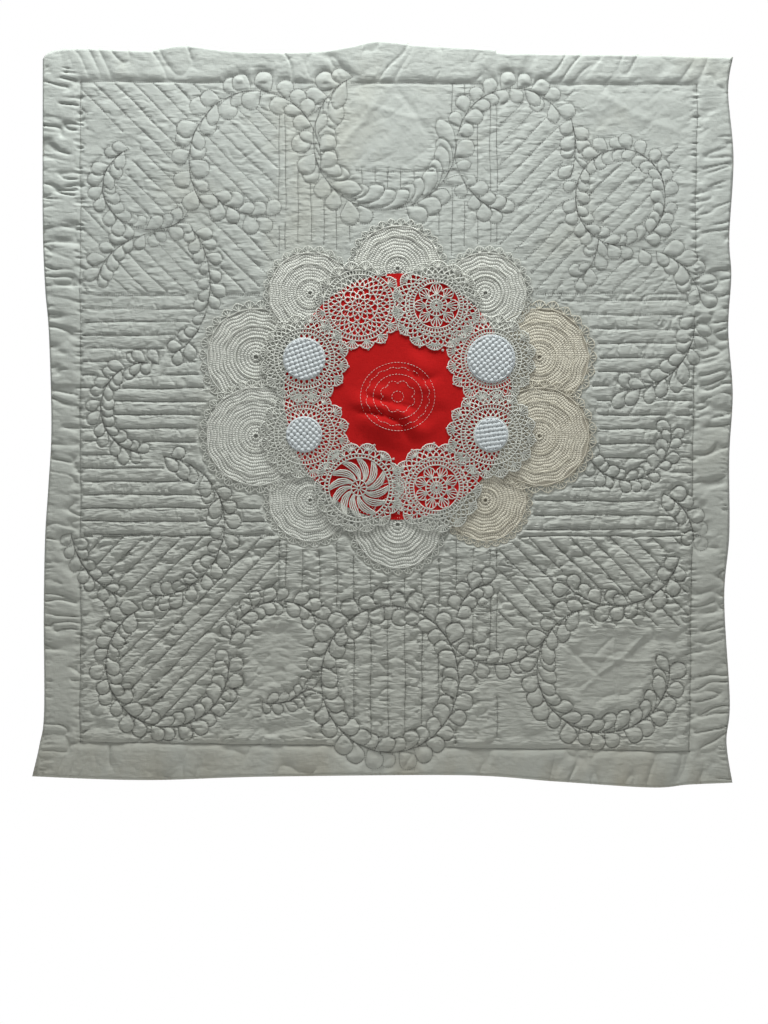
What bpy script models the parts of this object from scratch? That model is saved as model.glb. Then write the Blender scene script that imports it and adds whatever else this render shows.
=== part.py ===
"""A wall quilt with a collage of crochet doilies, woven rounds and a red cloth sewn to its middle.

It hangs by its top edge against a wall, which is the plane y = 0. The front faces -Y, X runs to the
viewer's right and Z runs up. The origin is the middle of the top edge, on the wall. Sizes are metres.
"""

import math

import bmesh
import bpy
from mathutils import Matrix, Vector
from mathutils.geometry import delaunay_2d_cdt, intersect_line_line_2d
from mathutils.kdtree import KDTree

# Thickness of the quilted cloth above the wall
EDGE_THICK = 0.0030
STITCH_THICK = 0.0034
PUFF_THICK = 0.0084
LOBE_THICK = 0.0092
PLAIN_THICK = 0.0070
BORDER_LOW = 0.0044
BORDER_HIGH = 0.0088
SOFT_WAVE = 0.0045

# How the face's points are sorted, and how near a line may pass to one
CELL = 0.025
CLEARANCE = 0.004

# The four edges as they hang, from corner to corner
TOP_EDGE = (  # x, z
    (-0.705, -0.036),
    (-0.687, -0.020),
    (-0.629, -0.013),
    (-0.494, -0.018),
    (-0.416, -0.007),
    (-0.307, -0.019),
    (-0.158, -0.020),
    (-0.075, -0.009),
    (-0.018, 0.002),
    (0.076, -0.007),
    (0.211, -0.015),
    (0.248, -0.023),
    (0.494, -0.026),
    (0.709, -0.032),
)
RIGHT_EDGE = (  # x, z
    (0.709, -0.032),
    (0.699, -0.103),
    (0.710, -0.240),
    (0.701, -0.400),
    (0.705, -0.480),
    (0.699, -0.590),
    (0.708, -0.720),
    (0.701, -0.850),
    (0.701, -1.010),
    (0.691, -1.140),
    (0.702, -1.350),
    (0.695, -1.435),
    (0.707, -1.518),
)
BOTTOM_EDGE = (  # x, z
    (0.707, -1.518),
    (0.617, -1.522),
    (0.539, -1.528),
    (0.346, -1.516),
    (0.150, -1.503),
    (-0.244, -1.506),
    (-0.494, -1.513),
    (-0.726, -1.505),
)
LEFT_EDGE = (  # x, z
    (-0.726, -1.505),
    (-0.711, -1.440),
    (-0.702, -1.374),
    (-0.703, -1.180),
    (-0.700, -1.020),
    (-0.693, -0.910),
    (-0.687, -0.790),
    (-0.692, -0.600),
    (-0.700, -0.500),
    (-0.705, -0.350),
    (-0.705, -0.036),
)

# The stitched frame line inside the border: its corners from the top left, clockwise
FRAME = ((-0.627, -0.083), (0.635, -0.089), (0.619, -1.454), (-0.627, -1.434))

# Puckers of the border, which run straight across it
SIDE_PUCKER = 0.031
END_PUCKER = 0.062

# Nine blocks of channel quilting between the frame line and the seam lines
SEAMS_X = (-0.221, 0.225)
SEAMS_Z = (-0.517, -1.013)
CHANNELS = (  # left, right, top, bottom, direction in degrees, pitch
    (-0.627, -0.221, -0.083, -0.517, -45, 0.0283),
    (-0.221, 0.225, -0.083, -0.517, 90, 0.0262),
    (0.225, 0.635, -0.083, -0.517, 45, 0.0290),
    (-0.627, -0.221, -0.517, -1.013, 0, 0.0272),
    (0.225, 0.632, -0.517, -1.013, 0, 0.0293),
    (-0.627, -0.221, -1.013, -1.436, 45, 0.0287),
    (-0.221, 0.225, -1.013, -1.440, 90, 0.0349),
    (0.225, 0.620, -1.013, -1.200, -45, 0.0300),
)
PLAIN = (  # left, right, top, bottom of the places with no channels
    (-0.125, 0.130, -0.083, -0.262),
    (0.385, 0.640, -0.083, -0.215),
    (0.600, 0.640, -0.200, -0.450),
    (-0.640, -0.575, -0.150, -0.300),
    (-0.575, -0.535, -0.185, -0.280),
    (-0.640, -0.575, -1.110, -1.440),
    (-0.640, -0.300, -1.395, -1.440),
    (-0.305, -0.221, -1.130, -1.440),
    (-0.221, -0.135, -1.150, -1.440),
    (0.150, 0.225, -1.250, -1.445),
)
PLAIN_LINE = (-0.062, 0.126, -0.266)  # left, right, z of the one line across the plain place

# Feather quilting: each strand is a stitched spine on part of an ellipse, with lobes on both sides
LOBE_PITCH = 0.0325
LOBE_REACH = 0.0355
LOBE_LEAN = 0.30
FEATHERS = (  # centre x, centre z, half width, half height, from and to in degrees
    (-0.270, -0.246, 0.135, 0.145, -5, 215),
    (-0.004, -0.201, 0.147, 0.144, 117, 358),
    (0.478, -0.319, 0.092, 0.099, 0, 360),
    (0.006, -1.306, 0.141, 0.150, 90, 450),
    (0.443, -1.286, 0.136, 0.130, 107, 363),
    (-0.449, -1.276, 0.126, 0.128, 117, 365),
    (0.491, -0.801, 0.091, 0.098, 150, 368),
    (-0.492, -0.751, 0.094, 0.093, 75, 265),
    (-0.482, -0.298, 0.100, 0.088, 118, 318),
    (0.258, -0.216, 0.116, 0.120, 168, 35),
    (0.268, -0.216, 0.118, 0.150, 22, -25),
    (0.278, -0.216, 0.140, 0.140, 190, 255),
    (-0.252, -0.236, 0.135, 0.122, 212, 280),
    (-0.432, -0.496, 0.160, 0.110, 95, 175),
    (-0.470, -0.496, 0.108, 0.150, 50, -70),
    (-0.467, -0.988, 0.135, 0.138, 85, 0),
    (0.318, -0.406, 0.115, 0.105, 5, -55),
    (0.518, -0.546, 0.125, 0.120, 90, 8),
    (0.490, -0.576, 0.140, 0.138, 5, -95),
    (0.538, -1.026, 0.090, 0.105, 72, 0),
    (0.468, -1.026, 0.135, 0.130, -14, -140),
    (-0.477, -0.986, 0.145, 0.150, -4, -95),
    (-0.492, -0.986, 0.155, 0.160, 188, 250),
    (-0.220, -1.248, 0.103, 0.102, 172, 40),
    (0.228, -1.191, 0.086, 0.084, 172, 100),
    (0.223, -1.166, 0.118, 0.110, 212, 310),
    (-0.232, -1.276, 0.085, 0.080, 255, 325),
)

# The collage: an outer ring of doilies, a red cloth over its inner half and a ring of doilies on that
CENTRE = (0.022, -0.728)
FLOOR_THICK = 0.0050
GAP = 0.0003
LACE_THICK = 0.0010
RED_HALF = (0.232, 0.252)
RED_THICK = 0.0010
RED_FOLD = 0.0030
OUTER_RING = {"count": 10, "half": (0.305, 0.262), "start": 18}
INNER_RING = {"count": 8, "half": (0.207, 0.202), "start": 22.5}
OUTER_SIZES = (0.118, 0.098, 0.104, 0.098, 0.118)  # radius, counted from the start of the ring
INNER_RADIUS = 0.094
OPEN_HALF = (0.165, 0.140)  # where no outer doily lies under the red cloth
WOVEN_ROUNDS = (  # place in the inner ring, radius, turn in degrees
    (0, 0.046, 38),
    (3, 0.040, 20),
    (4, 0.034, 50),
    (7, 0.032, 8),
)
WOVEN_THICK = 0.0052
WOVEN_PITCH = 0.0160

HOLES = {  # holes in a ring, inner and outer radius as shares of the doily's, share of the ring cut
    "web": ((8, 0.27, 0.46, 0.70), (12, 0.56, 0.75, 0.72)),
    "star": ((8, 0.26, 0.70, 0.55),),
    "rim": ((10, 0.57, 0.77, 0.70),),
    "dense": ((8, 0.64, 0.80, 0.50),),
    "net": (),
}
NET_PITCH = 0.0235
NET_HOLE = 0.0088
NET_REACH = 0.050
INNER_KINDS = ("rim", "web", "net", "rim", "rim", "star", "web", "rim")
SCALLOPS = {"web": 12, "star": 12, "rim": 12, "dense": 16, "net": 12}
SCALLOP_DEPTH = 0.055
ROUND_SCALLOPS = 12  # rounds with more scallops than this have pointed ones

COLOURS = {
    "quilt": (0.50, 0.54, 0.50),
    "red": (0.42, 0.008, 0.010),
    "white": (0.60, 0.62, 0.58),
    "cream": (0.58, 0.54, 0.43),
    "woven": (0.66, 0.69, 0.69),
}


def clear_scene():
    for old in list(bpy.data.objects):
        bpy.data.objects.remove(old, do_unlink=True)


def cloth_material(name):
    """A matt cloth finish in one of the named colours."""
    material = bpy.data.materials.new(name)
    material.use_nodes = True
    shader = material.node_tree.nodes["Principled BSDF"]
    shader.inputs["Base Color"].default_value = (*COLOURS[name], 1.0)
    shader.inputs["Roughness"].default_value = 0.9
    shader.inputs["Metallic"].default_value = 0.0
    return material


def smooth_line(rows, step):
    """Points about a step apart on a soft curve through the rows, without the last one."""
    points = []
    for i in range(len(rows) - 1):
        before, start = Vector(rows[max(i - 1, 0)]), Vector(rows[i])
        end, after = Vector(rows[i + 1]), Vector(rows[min(i + 2, len(rows) - 1)])
        count = max(1, round((end - start).length / step))
        for k in range(count):
            t = k / count
            bend = (before - 2.5 * start + 2 * end - 0.5 * after) * t * t
            bend += (-0.5 * before + 1.5 * start - 1.5 * end + 0.5 * after) * t**3
            points.append(start + (end - before) * 0.5 * t + bend)
    return points


def uneven(number):
    """A share from 0 to 1 that differs from one fold to the next and is the same each time."""
    return 0.5 + 0.5 * math.sin(2.3 * number + 1.7 * math.sin(0.71 * number))


def on_ellipse(centre, half, degrees):
    angle = math.radians(degrees)
    return Vector((centre[0] + half[0] * math.cos(angle), centre[1] + half[1] * math.sin(angle)))


def doily_rows():
    """One row for each doily: name, kind, colour, place, radius and layer above the quilt."""
    rows = []
    for i in range(OUTER_RING["count"]):
        turn = OUTER_RING["start"] + 360 * i / OUTER_RING["count"]
        place = on_ellipse(CENTRE, OUTER_RING["half"], turn)
        rows.append(
            {
                "name": f"doily_outer_{i + 1}",
                "kind": "dense",
                "colour": "cream" if i in (0, 8, 9) else "white",
                "place": place,
                "radius": OUTER_SIZES[i % len(OUTER_SIZES)],
                "layer": i % 2,
            }
        )
    for i, kind in enumerate(INNER_KINDS):
        turn = INNER_RING["start"] + 360 * i / INNER_RING["count"]
        rows.append(
            {
                "name": f"doily_inner_{i + 1}",
                "kind": kind,
                "colour": "white",
                "place": on_ellipse(CENTRE, INNER_RING["half"], turn),
                "radius": INNER_RADIUS,
                "layer": 2 + i % 2,
            }
        )
    return rows


def layer_back(layer):
    """How far from the wall the back of a lace layer lies. The red cloth is between layers 1 and 2."""
    red = RED_THICK + GAP if layer > 1 else 0.0
    return FLOOR_THICK + GAP + layer * (LACE_THICK + GAP) + red


def red_back():
    return layer_back(1) + LACE_THICK + GAP


def spine(row):
    """The points of a feather strand's stitched spine, one at the root of each lobe."""
    x, z, wide, high, start, end = row
    long = abs(math.radians(end - start)) * math.sqrt((wide**2 + high**2) / 2)
    count = max(2, round(long / LOBE_PITCH))
    return [on_ellipse((x, z), (wide, high), start + (end - start) * k / count) for k in range(count + 1)]


def soft_wave(x, z):
    """How far the whole cloth stands off the wall, which is nothing in the middle and at the top."""
    away = max(0.0, math.hypot((x - CENTRE[0]) / 0.70, (z - CENTRE[1]) / 0.75) - 0.72)
    swing = 0.5 - 0.5 * math.cos(9.0 * x + 4.0 * math.sin(3.1 * z + 0.6))
    hang = min(1.0, -z / 0.4) if z < 0 else 0.0
    return SOFT_WAVE * min(1.0, 2.2 * away) * swing * hang


class Field:
    """The points of the quilt's face, each with its thickness, and the lines that join them."""

    def __init__(self):
        self.points, self.thick, self.lines = [], [], []
        self.cells, self.crossed = {}, {}

    def cell(self, point):
        return math.floor(point[0] / CELL), math.floor(point[1] / CELL)

    def near(self, point, gap):
        """The nearest point so far within a gap, which is no wider than a cell, or None."""
        column, row = self.cell(point)
        best, found = gap, None
        for i in (-1, 0, 1):
            for k in (-1, 0, 1):
                for number in self.cells.get((column + i, row + k), ()):
                    far = (self.points[number] - Vector(point)).length
                    if far < best:
                        best, found = far, number
        return found

    def add(self, point, thick, gap):
        """The number of a new point, or of the one that is already within the gap."""
        found = self.near(point, gap)
        if found is None:
            found = len(self.points)
            self.points.append(Vector(point))
            self.thick.append(thick)
            self.cells.setdefault(self.cell(point), []).append(found)
        return found

    def free(self, a, b):
        """Whether a line between two points crosses no other line and all but touches no point."""
        start, end = self.points[a], self.points[b]
        steps = max(2, round((end - start).length / CLEARANCE))
        for k in range(steps + 1):
            spot = start.lerp(end, k / steps)
            if 0 < k < steps and self.near(spot, CLEARANCE) not in (None, a, b):
                return False
            for c, d in self.crossed.get(self.cell(spot), ()):
                if {a, b} == {c, d}:
                    return False
                if not {a, b} & {c, d}:
                    if intersect_line_line_2d(start, end, self.points[c], self.points[d]):
                        return False
        return True

    def join(self, numbers):
        """A line from each point to the next one, where it is free."""
        for a, b in zip(numbers, numbers[1:]):
            if a != b and self.free(a, b):
                self.lines.append((a, b))
                start, end = self.points[a], self.points[b]
                steps = max(2, round((end - start).length / CLEARANCE))
                for cell in {self.cell(start.lerp(end, k / steps)) for k in range(steps + 1)}:
                    self.crossed.setdefault(cell, []).append((a, b))


def closed_outline():
    """The cloth's outline, clockwise seen from the front. Every second point is on a pucker's top."""
    side, end = SIDE_PUCKER / 2, END_PUCKER / 2
    runs = ((TOP_EDGE, end), (RIGHT_EDGE, side), (BOTTOM_EDGE, end), (LEFT_EDGE, side))
    return [point for rows, step in runs for point in smooth_line(rows, step)]


def frame_x(z, right):
    """Where the frame line runs at a height, on the left or the right side."""
    low, high = (FRAME[2], FRAME[1]) if right else (FRAME[3], FRAME[0])
    return low[0] + (high[0] - low[0]) * (z - low[1]) / (high[1] - low[1])


def frame_z(x, top):
    low, high = (FRAME[0], FRAME[1]) if top else (FRAME[3], FRAME[2])
    return low[1] + (high[1] - low[1]) * (x - low[0]) / (high[0] - low[0])


def in_frame(x, z, margin):
    across = frame_x(z, False) + margin < x < frame_x(z, True) - margin
    return across and frame_z(x, False) + margin < z < frame_z(x, True) - margin


def in_collage(x, z, margin, doilies):
    if math.hypot((x - CENTRE[0]) / (RED_HALF[0] + margin), (z - CENTRE[1]) / (RED_HALF[1] + margin)) < 1:
        return True
    return any((Vector((x, z)) - d["place"]).length < d["radius"] + margin for d in doilies)


def add_outline(field):
    """The outline comes first, so its points have the same numbers on the front and the back."""
    outline = closed_outline()
    for k, point in enumerate(outline):
        lift = 0.6 * (BORDER_HIGH - BORDER_LOW) * uneven(k) if k % 2 else 0.0
        field.points.append(point)
        field.thick.append(EDGE_THICK + lift)
        field.cells.setdefault(field.cell(point), []).append(k)
    return len(outline)


def add_lobe(field, roots, side, doilies, spines):
    """One lobe between two roots on a spine: a raised middle inside a low, round-headed outline."""
    start, end = roots
    along = end - start
    out = Vector((along.y, -along.x)).normalized() * side * LOBE_REACH

    def spot(share, reach):
        return start + along * (share + LOBE_LEAN * reach) + out * reach

    middle = spot(0.5, 0.52)
    for other, _, _ in spines.find_range((*middle, 0.0), 0.62 * LOBE_REACH):
        if (other.xy - (start + end) / 2).length > 0.9 * LOBE_PITCH:
            return
    if in_collage(*spot(0.5, 1.0), 0.010, doilies) or in_collage(*middle, 0.010, doilies):
        return
    if field.near(middle, 0.0125) is not None:
        return
    low = [field.add(p, STITCH_THICK, 0.006) for p in (start, spot(0.0, 0.60), spot(0.22, 0.92))]
    low += [field.add(p, STITCH_THICK, 0.006) for p in (spot(0.78, 0.92), spot(1.0, 0.60), end)]
    field.add(middle, LOBE_THICK - 0.0012 * uneven(len(field.points)), CLEARANCE)
    field.join(low)


def add_feathers(field, doilies):
    strands = [spine(row) for row in FEATHERS]
    spines = KDTree(sum(len(s) for s in strands))
    number = 0
    for strand in strands:
        for point in strand:
            spines.insert((*point, 0.0), number)
            number += 1
    spines.balance()
    for strand in strands:
        for start, end in zip(strand, strand[1:]):
            if not in_collage(*start, 0.012, doilies) and not in_collage(*end, 0.012, doilies):
                field.join([field.add(start, STITCH_THICK, 0.006), field.add(end, STITCH_THICK, 0.006)])
    for strand in strands:
        for roots in zip(strand, strand[1:]):
            for side in (1, -1):
                add_lobe(field, roots, side, doilies, spines)
    return spines


def add_line(field, start, end, thick, step, keep):
    """A line of points from start to end, broken wherever keep says so."""
    start, end = Vector(start), Vector(end)
    fine = max(2, round((end - start).length / 0.010))
    run = []
    for k in range(fine + 2):
        point = start.lerp(end, min(k / fine, 1.0))
        if k <= fine and keep(*point):
            run.append(point)
            continue
        if len(run) > 1:
            parts = max(1, round((run[-1] - run[0]).length / step))
            spots = [run[0].lerp(run[-1], i / parts) for i in range(parts + 1)]
            spots = [p for p in spots if field.near(p, 0.0085) is None]
            field.join([field.add(p, thick, 0.0085) for p in spots])
        run = []


def add_channels(field, spines, doilies):
    """Parallel channels in each block: a stitched line, low, then the top of the puff between lines."""

    def clear(x, z, margin):
        if not in_frame(x, z, margin) or in_collage(x, z, margin + 0.006, doilies):
            return False
        if spines.find((x, z, 0.0))[2] < LOBE_REACH + margin:
            return False
        return not any(a < x < b and d < z < c for a, b, c, d in PLAIN)

    for left, right, top, bottom, degrees, pitch in CHANNELS:
        along = Vector((math.cos(math.radians(degrees)), math.sin(math.radians(degrees))))
        across = Vector((-along.y, along.x))
        middle = Vector(((left + right) / 2, (top + bottom) / 2))
        half = math.hypot(right - left, top - bottom) / 2
        for k in range(-2 * round(half / pitch), 2 * round(half / pitch) + 1):
            place = middle + across * k * pitch / 2
            margin = 0.008 if k % 2 else 0.003

            def keep(x, z):
                inside = left + margin < x < right - margin and bottom + margin < z < top - margin
                return inside and clear(x, z, margin)

            thick = PUFF_THICK - 0.0010 * uneven(k) if k % 2 else STITCH_THICK
            add_line(field, place - along * half, place + along * half, thick, 0.085, keep)
    for x in SEAMS_X:
        ends = ((x, frame_z(x, True)), (x, frame_z(x, False)))
        add_line(field, *ends, STITCH_THICK, 0.06, lambda a, b: clear(a, b, 0.002))
    for z in SEAMS_Z:
        ends = ((frame_x(z, False), z), (frame_x(z, True), z))
        add_line(field, *ends, STITCH_THICK, 0.06, lambda a, b: clear(a, b, 0.002))
    left, right, z = PLAIN_LINE
    add_line(field, (left, z), (right, z), STITCH_THICK, 0.05, lambda a, b: True)


def add_frame_line(field, spines):
    for start, end in zip(FRAME, FRAME[1:] + FRAME[:1]):
        add_line(field, start, end, STITCH_THICK, 0.045, lambda x, z: spines.find((x, z, 0.0))[2] > LOBE_REACH)


def add_border(field, outline_count):
    """Puckers run in from each second point of the outline to the frame line."""
    for k in range(outline_count):
        x, z = field.points[k]
        inner = Vector((min(max(x, frame_x(z, False)), frame_x(z, True)), z))
        if not frame_z(x, False) < z < frame_z(x, True):
            inner = Vector((inner.x, frame_z(x, z > CENTRE[1])))
        high = BORDER_LOW + (BORDER_HIGH - BORDER_LOW) * (0.45 + 0.55 * uneven(k)) if k % 2 else BORDER_LOW
        for share in (0.30, 0.72):
            spot = field.points[k].lerp(inner, share)
            if field.near(spot, 0.010) is None:
                field.add(spot, high, 0.001)


def add_collage_floor(field, doilies):
    """The cloth lies flat under the collage: low under the lace, and up to the red cloth inside it."""
    for k in range(40):
        for margin, thick in ((0.0, red_back() - GAP), (0.018, FLOOR_THICK)):
            half = (OPEN_HALF[0] + margin, OPEN_HALF[1] + margin)
            field.add(on_ellipse(CENTRE, half, 9 * k), thick, 0.004)
    for d in doilies:
        for k in range(24):
            spot = on_ellipse(d["place"], (d["radius"] + 0.005, d["radius"] + 0.005), 15 * k)
            if not in_collage(*spot, 0.004, doilies):
                field.add(spot, FLOOR_THICK, 0.004)


def add_plain(field, doilies):
    """A few points hold up the places that have no quilting."""
    for i in range(-16, 17):
        for k in range(-33, 0):
            spot = Vector((0.045 * i + 0.0225 * (k % 2), 0.045 * k))
            if in_frame(*spot, 0.012) and not in_collage(*spot, 0.02, doilies):
                if field.near(spot, 0.024) is None:
                    field.add(spot, PLAIN_THICK - 0.001 * uneven(i + 7 * k), 0.001)


def inside(outline, spot):
    """Whether a spot lies within a closed outline."""
    crossings = 0
    for a, b in zip(outline, outline[1:] + outline[:1]):
        if (a[1] > spot[1]) != (b[1] > spot[1]):
            crossings += spot[0] < a[0] + (b[0] - a[0]) * (spot[1] - a[1]) / (b[1] - a[1])
    return crossings % 2 == 1


def closed_sheet(name, outline_count, front, back):
    """One closed solid from a front and a back field whose first points are the same outline."""
    mesh = bmesh.new()
    rims = []
    for facing, (points, distances, lines) in enumerate((front, back)):
        spots, _, faces, origins, _, _ = delaunay_2d_cdt(
            points, lines, [list(range(outline_count))], 1, 1e-6, True
        )
        made, rim = [], {}
        for spot, sources in zip(spots, origins):
            far = distances[sources[0]] if sources else STITCH_THICK + soft_wave(*spot)
            made.append(mesh.verts.new((spot[0], -far, spot[1])))
            rim.update({s: made[-1] for s in sources if s < outline_count})
        outline = points[:outline_count]
        for face in faces:
            if not inside(outline, sum((spots[k] for k in face), Vector((0, 0))) / 3):
                continue
            corners = [made[k] for k in face]
            mesh.faces.new(corners if facing == 0 else corners[::-1])
        rims.append([rim[k] for k in range(outline_count)])
    for k in range(outline_count):
        after = (k + 1) % outline_count
        corners = (rims[0][k], rims[0][after], rims[1][after], rims[1][k])
        mesh.faces.new(corners)
    bmesh.ops.triangulate(mesh, faces=mesh.faces)
    bmesh.ops.recalc_face_normals(mesh, faces=mesh.faces)
    data = bpy.data.meshes.new(name)
    mesh.to_mesh(data)
    mesh.free()
    data.shade_smooth()
    data.set_sharp_from_angle(angle=math.radians(50))
    return bpy.data.objects.new(name, data)


def make_quilt(doilies):
    field = Field()
    count = add_outline(field)
    spines = add_feathers(field, doilies)
    add_frame_line(field, spines)
    add_collage_floor(field, doilies)
    add_channels(field, spines, doilies)
    add_border(field, count)
    add_plain(field, doilies)
    waves = [soft_wave(*p) for p in field.points]
    front = (field.points, [t + w for t, w in zip(field.thick, waves)], field.lines)
    back_points = field.points[:count]
    for i in range(-5, 6):
        for k in range(-11, 0):
            back_points.append(Vector((0.128 * i, 0.128 * k)))
    back = (back_points, [soft_wave(*p) for p in back_points], [])
    return closed_sheet("quilt", count, front, back)


def make_red_cloth():
    """A round of red cloth, flat under the lace, with soft slanting folds in the open middle."""
    count = 32
    outline = [on_ellipse(CENTRE, RED_HALF, -360 * k / count) for k in range(count)]
    points = list(outline)
    for i in range(-4, 5):
        for k in range(-4, 5):
            spot = Vector((0.034 * i + 0.012 * k, 0.030 * k))
            if spot.length < 0.120:
                points.append(Vector(CENTRE) + spot)
    low = red_back()
    lift = []
    for number, point in enumerate(points):
        open_share = max(0.0, 1.0 - (point - Vector(CENTRE)).length / 0.110)
        lift.append(RED_FOLD * open_share * uneven(number) if number >= count else 0.0)
    front = (points, [low + RED_THICK + rise for rise in lift], [])
    back = (points, [low + rise for rise in lift], [])
    return closed_sheet("red_cloth", count, front, back)


def ring_hole(turn, step, inner, outer, share):
    """The four corners of one gap in a ring of gaps, narrower towards the middle."""
    half = 0.5 * step * share
    return [
        (inner * math.cos(turn - half), inner * math.sin(turn - half)),
        (outer * math.cos(turn - half), outer * math.sin(turn - half)),
        (outer * math.cos(turn + half), outer * math.sin(turn + half)),
        (inner * math.cos(turn + half), inner * math.sin(turn + half)),
    ]


def net_holes():
    """Six-sided gaps of a net that is cut at about twice its pitch."""
    holes = []
    for i in range(-4, 5):
        for k in range(-4, 5):
            x, y = NET_PITCH * (i + 0.5 * (k % 2)), NET_PITCH * 0.866 * k
            if math.hypot(x, y) < NET_REACH:
                turns = [math.radians(30 + 60 * c) for c in range(6)]
                holes.append([(x + NET_HOLE * math.cos(t), y + NET_HOLE * math.sin(t)) for t in turns])
    return holes


def scalloped(radius, count):
    """A round edge with a low notch and a blunt head for each scallop, or a plain point where they are many."""
    notch = (0.0, 1 - SCALLOP_DEPTH)
    heads = (notch, (0.28, 0.99), (0.72, 0.99)) if count <= ROUND_SCALLOPS else (notch, (0.5, 1.0))
    step = 2 * math.pi / count
    turns = [(step * (k + share), radius * reach) for k in range(count) for share, reach in heads]
    return [(reach * math.cos(turn), reach * math.sin(turn)) for turn, reach in turns]


def make_doily(row):
    """A flat crochet round with a scalloped edge, its larger gaps cut through."""
    outlines = [scalloped(row["radius"], SCALLOPS[row["kind"]])]
    for count, inner, outer, share in HOLES[row["kind"]]:
        step = 2 * math.pi / count
        for k in range(count):
            hole = ring_hole(step * k, step, inner * row["radius"], outer * row["radius"], share)
            outlines.append(hole)
    if row["kind"] == "net":
        outlines += net_holes()
    curve = bpy.data.curves.new(row["name"], "CURVE")
    curve.dimensions = "2D"
    curve.fill_mode = "BOTH"
    curve.extrude = LACE_THICK / 2
    for outline in outlines:
        line = curve.splines.new("POLY")
        line.points.add(len(outline) - 1)
        line.use_cyclic_u = True
        for point, (x, y) in zip(line.points, outline):
            point.co = (x, y, 0.0, 1.0)
    doily = bpy.data.objects.new(row["name"], curve)
    doily.rotation_euler = (math.pi / 2, 0.0, 0.0)
    doily.location = (row["place"].x, -layer_back(row["layer"]) - LACE_THICK / 2, row["place"].y)
    return doily


def make_woven_round(number, row, radius, degrees):
    """A round of thick basket weave: its straps show as rows of small pads."""
    count = 24
    place = row["place"]
    turn = Matrix.Rotation(math.radians(degrees), 2)
    points = [on_ellipse(place, (radius, radius), -360 * k / count) for k in range(count)]
    low = layer_back(row["layer"]) + LACE_THICK + GAP
    far = [low + 0.0018] * count
    half = WOVEN_PITCH / 2
    for i in range(-6, 7):
        for k in range(-6, 7):
            spot = turn @ Vector((half * i, half * k))
            if spot.length < radius - 0.004:
                pad = 1.0 if i % 2 and k % 2 else 0.45 if (i + k) % 2 else 0.20
                crown = 1.0 - 0.35 * (spot.length / radius) ** 2
                points.append(place + spot)
                far.append(low + WOVEN_THICK * (0.45 + 0.55 * pad) * crown)
    front = (points, far, [])
    back = (points[:count], [low] * count, [])
    return closed_sheet(f"woven_round_{number}", count, front, back)


def main():
    clear_scene()
    parts = bpy.data.collections.new("wall_quilt")
    bpy.context.scene.collection.children.link(parts)
    finish = {name: cloth_material(name) for name in COLOURS}
    doilies = doily_rows()
    pieces = [(make_quilt(doilies), "quilt"), (make_red_cloth(), "red")]
    pieces += [(make_doily(row), row["colour"]) for row in doilies]
    inner = [row for row in doilies if row["name"].startswith("doily_inner")]
    for number, (index, radius, degrees) in enumerate(WOVEN_ROUNDS):
        pieces.append((make_woven_round(number + 1, inner[index], radius, degrees), "woven"))
    for piece, colour in pieces:
        piece.data.materials.append(finish[colour])
        parts.objects.link(piece)


main()
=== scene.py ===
"""The wall quilt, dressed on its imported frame: quilted cloth, hand stitches, crochet lace and woven rounds.

The frame hangs against the plane y = 0 and faces -Y. Sizes are metres. The tables of lines repeat the part's.
"""

import math

import bpy
import numpy as np
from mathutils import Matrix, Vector
from mathutils.geometry import delaunay_2d_cdt
from mathutils.kdtree import KDTree


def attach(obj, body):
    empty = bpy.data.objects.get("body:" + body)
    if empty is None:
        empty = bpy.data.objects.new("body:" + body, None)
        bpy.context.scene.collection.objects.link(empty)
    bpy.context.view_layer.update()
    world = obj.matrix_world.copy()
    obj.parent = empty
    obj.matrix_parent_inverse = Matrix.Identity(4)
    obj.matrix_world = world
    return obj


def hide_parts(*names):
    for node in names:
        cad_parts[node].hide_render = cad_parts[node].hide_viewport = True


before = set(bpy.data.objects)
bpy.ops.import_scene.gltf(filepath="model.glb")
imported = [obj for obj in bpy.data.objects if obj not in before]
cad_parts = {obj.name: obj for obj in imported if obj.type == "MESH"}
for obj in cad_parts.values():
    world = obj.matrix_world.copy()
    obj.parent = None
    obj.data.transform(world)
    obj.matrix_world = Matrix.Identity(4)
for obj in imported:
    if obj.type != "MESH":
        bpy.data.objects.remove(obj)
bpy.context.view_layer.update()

GRID_SIZE = (1.41, 1.485)

# How far the cloth's face is above the wall
EDGE_THICK = 0.0030
LEAST_THICK = 0.0014
STITCH_THICK = 0.0046
PUFF_THICK = 0.0061
PUFF_MORE = 0.0030
LOBE_THICK = 0.0071
PLAIN_THICK = 0.0068
BORDER_LOW = 0.0034
BORDER_HIGH = 0.0112
SOFT_WAVE = 0.0045
STEEP_REACH = 0.0036
STEEP_SHARE = 0.30
BORDER_REACH = 0.018

TOP_EDGE = (  # x, z
    (-0.705, -0.036), (-0.687, -0.020), (-0.629, -0.013), (-0.494, -0.018),
    (-0.416, -0.007), (-0.307, -0.019), (-0.158, -0.020), (-0.075, -0.009),
    (-0.018, 0.002), (0.076, -0.007), (0.211, -0.015), (0.248, -0.023),
    (0.494, -0.026), (0.709, -0.032),
)
RIGHT_EDGE = (  # x, z
    (0.709, -0.032), (0.699, -0.103), (0.710, -0.240), (0.701, -0.400),
    (0.705, -0.480), (0.699, -0.590), (0.708, -0.720), (0.701, -0.850),
    (0.701, -1.010), (0.691, -1.140), (0.702, -1.350), (0.695, -1.435),
    (0.707, -1.518),
)
BOTTOM_EDGE = (  # x, z
    (0.707, -1.518), (0.617, -1.522), (0.539, -1.528), (0.346, -1.516),
    (0.150, -1.503), (-0.244, -1.506), (-0.494, -1.513), (-0.726, -1.505),
)
LEFT_EDGE = (  # x, z
    (-0.726, -1.505), (-0.711, -1.440), (-0.702, -1.374), (-0.703, -1.180),
    (-0.700, -1.020), (-0.693, -0.910), (-0.687, -0.790), (-0.692, -0.600),
    (-0.700, -0.500), (-0.705, -0.350), (-0.705, -0.036),
)

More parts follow.
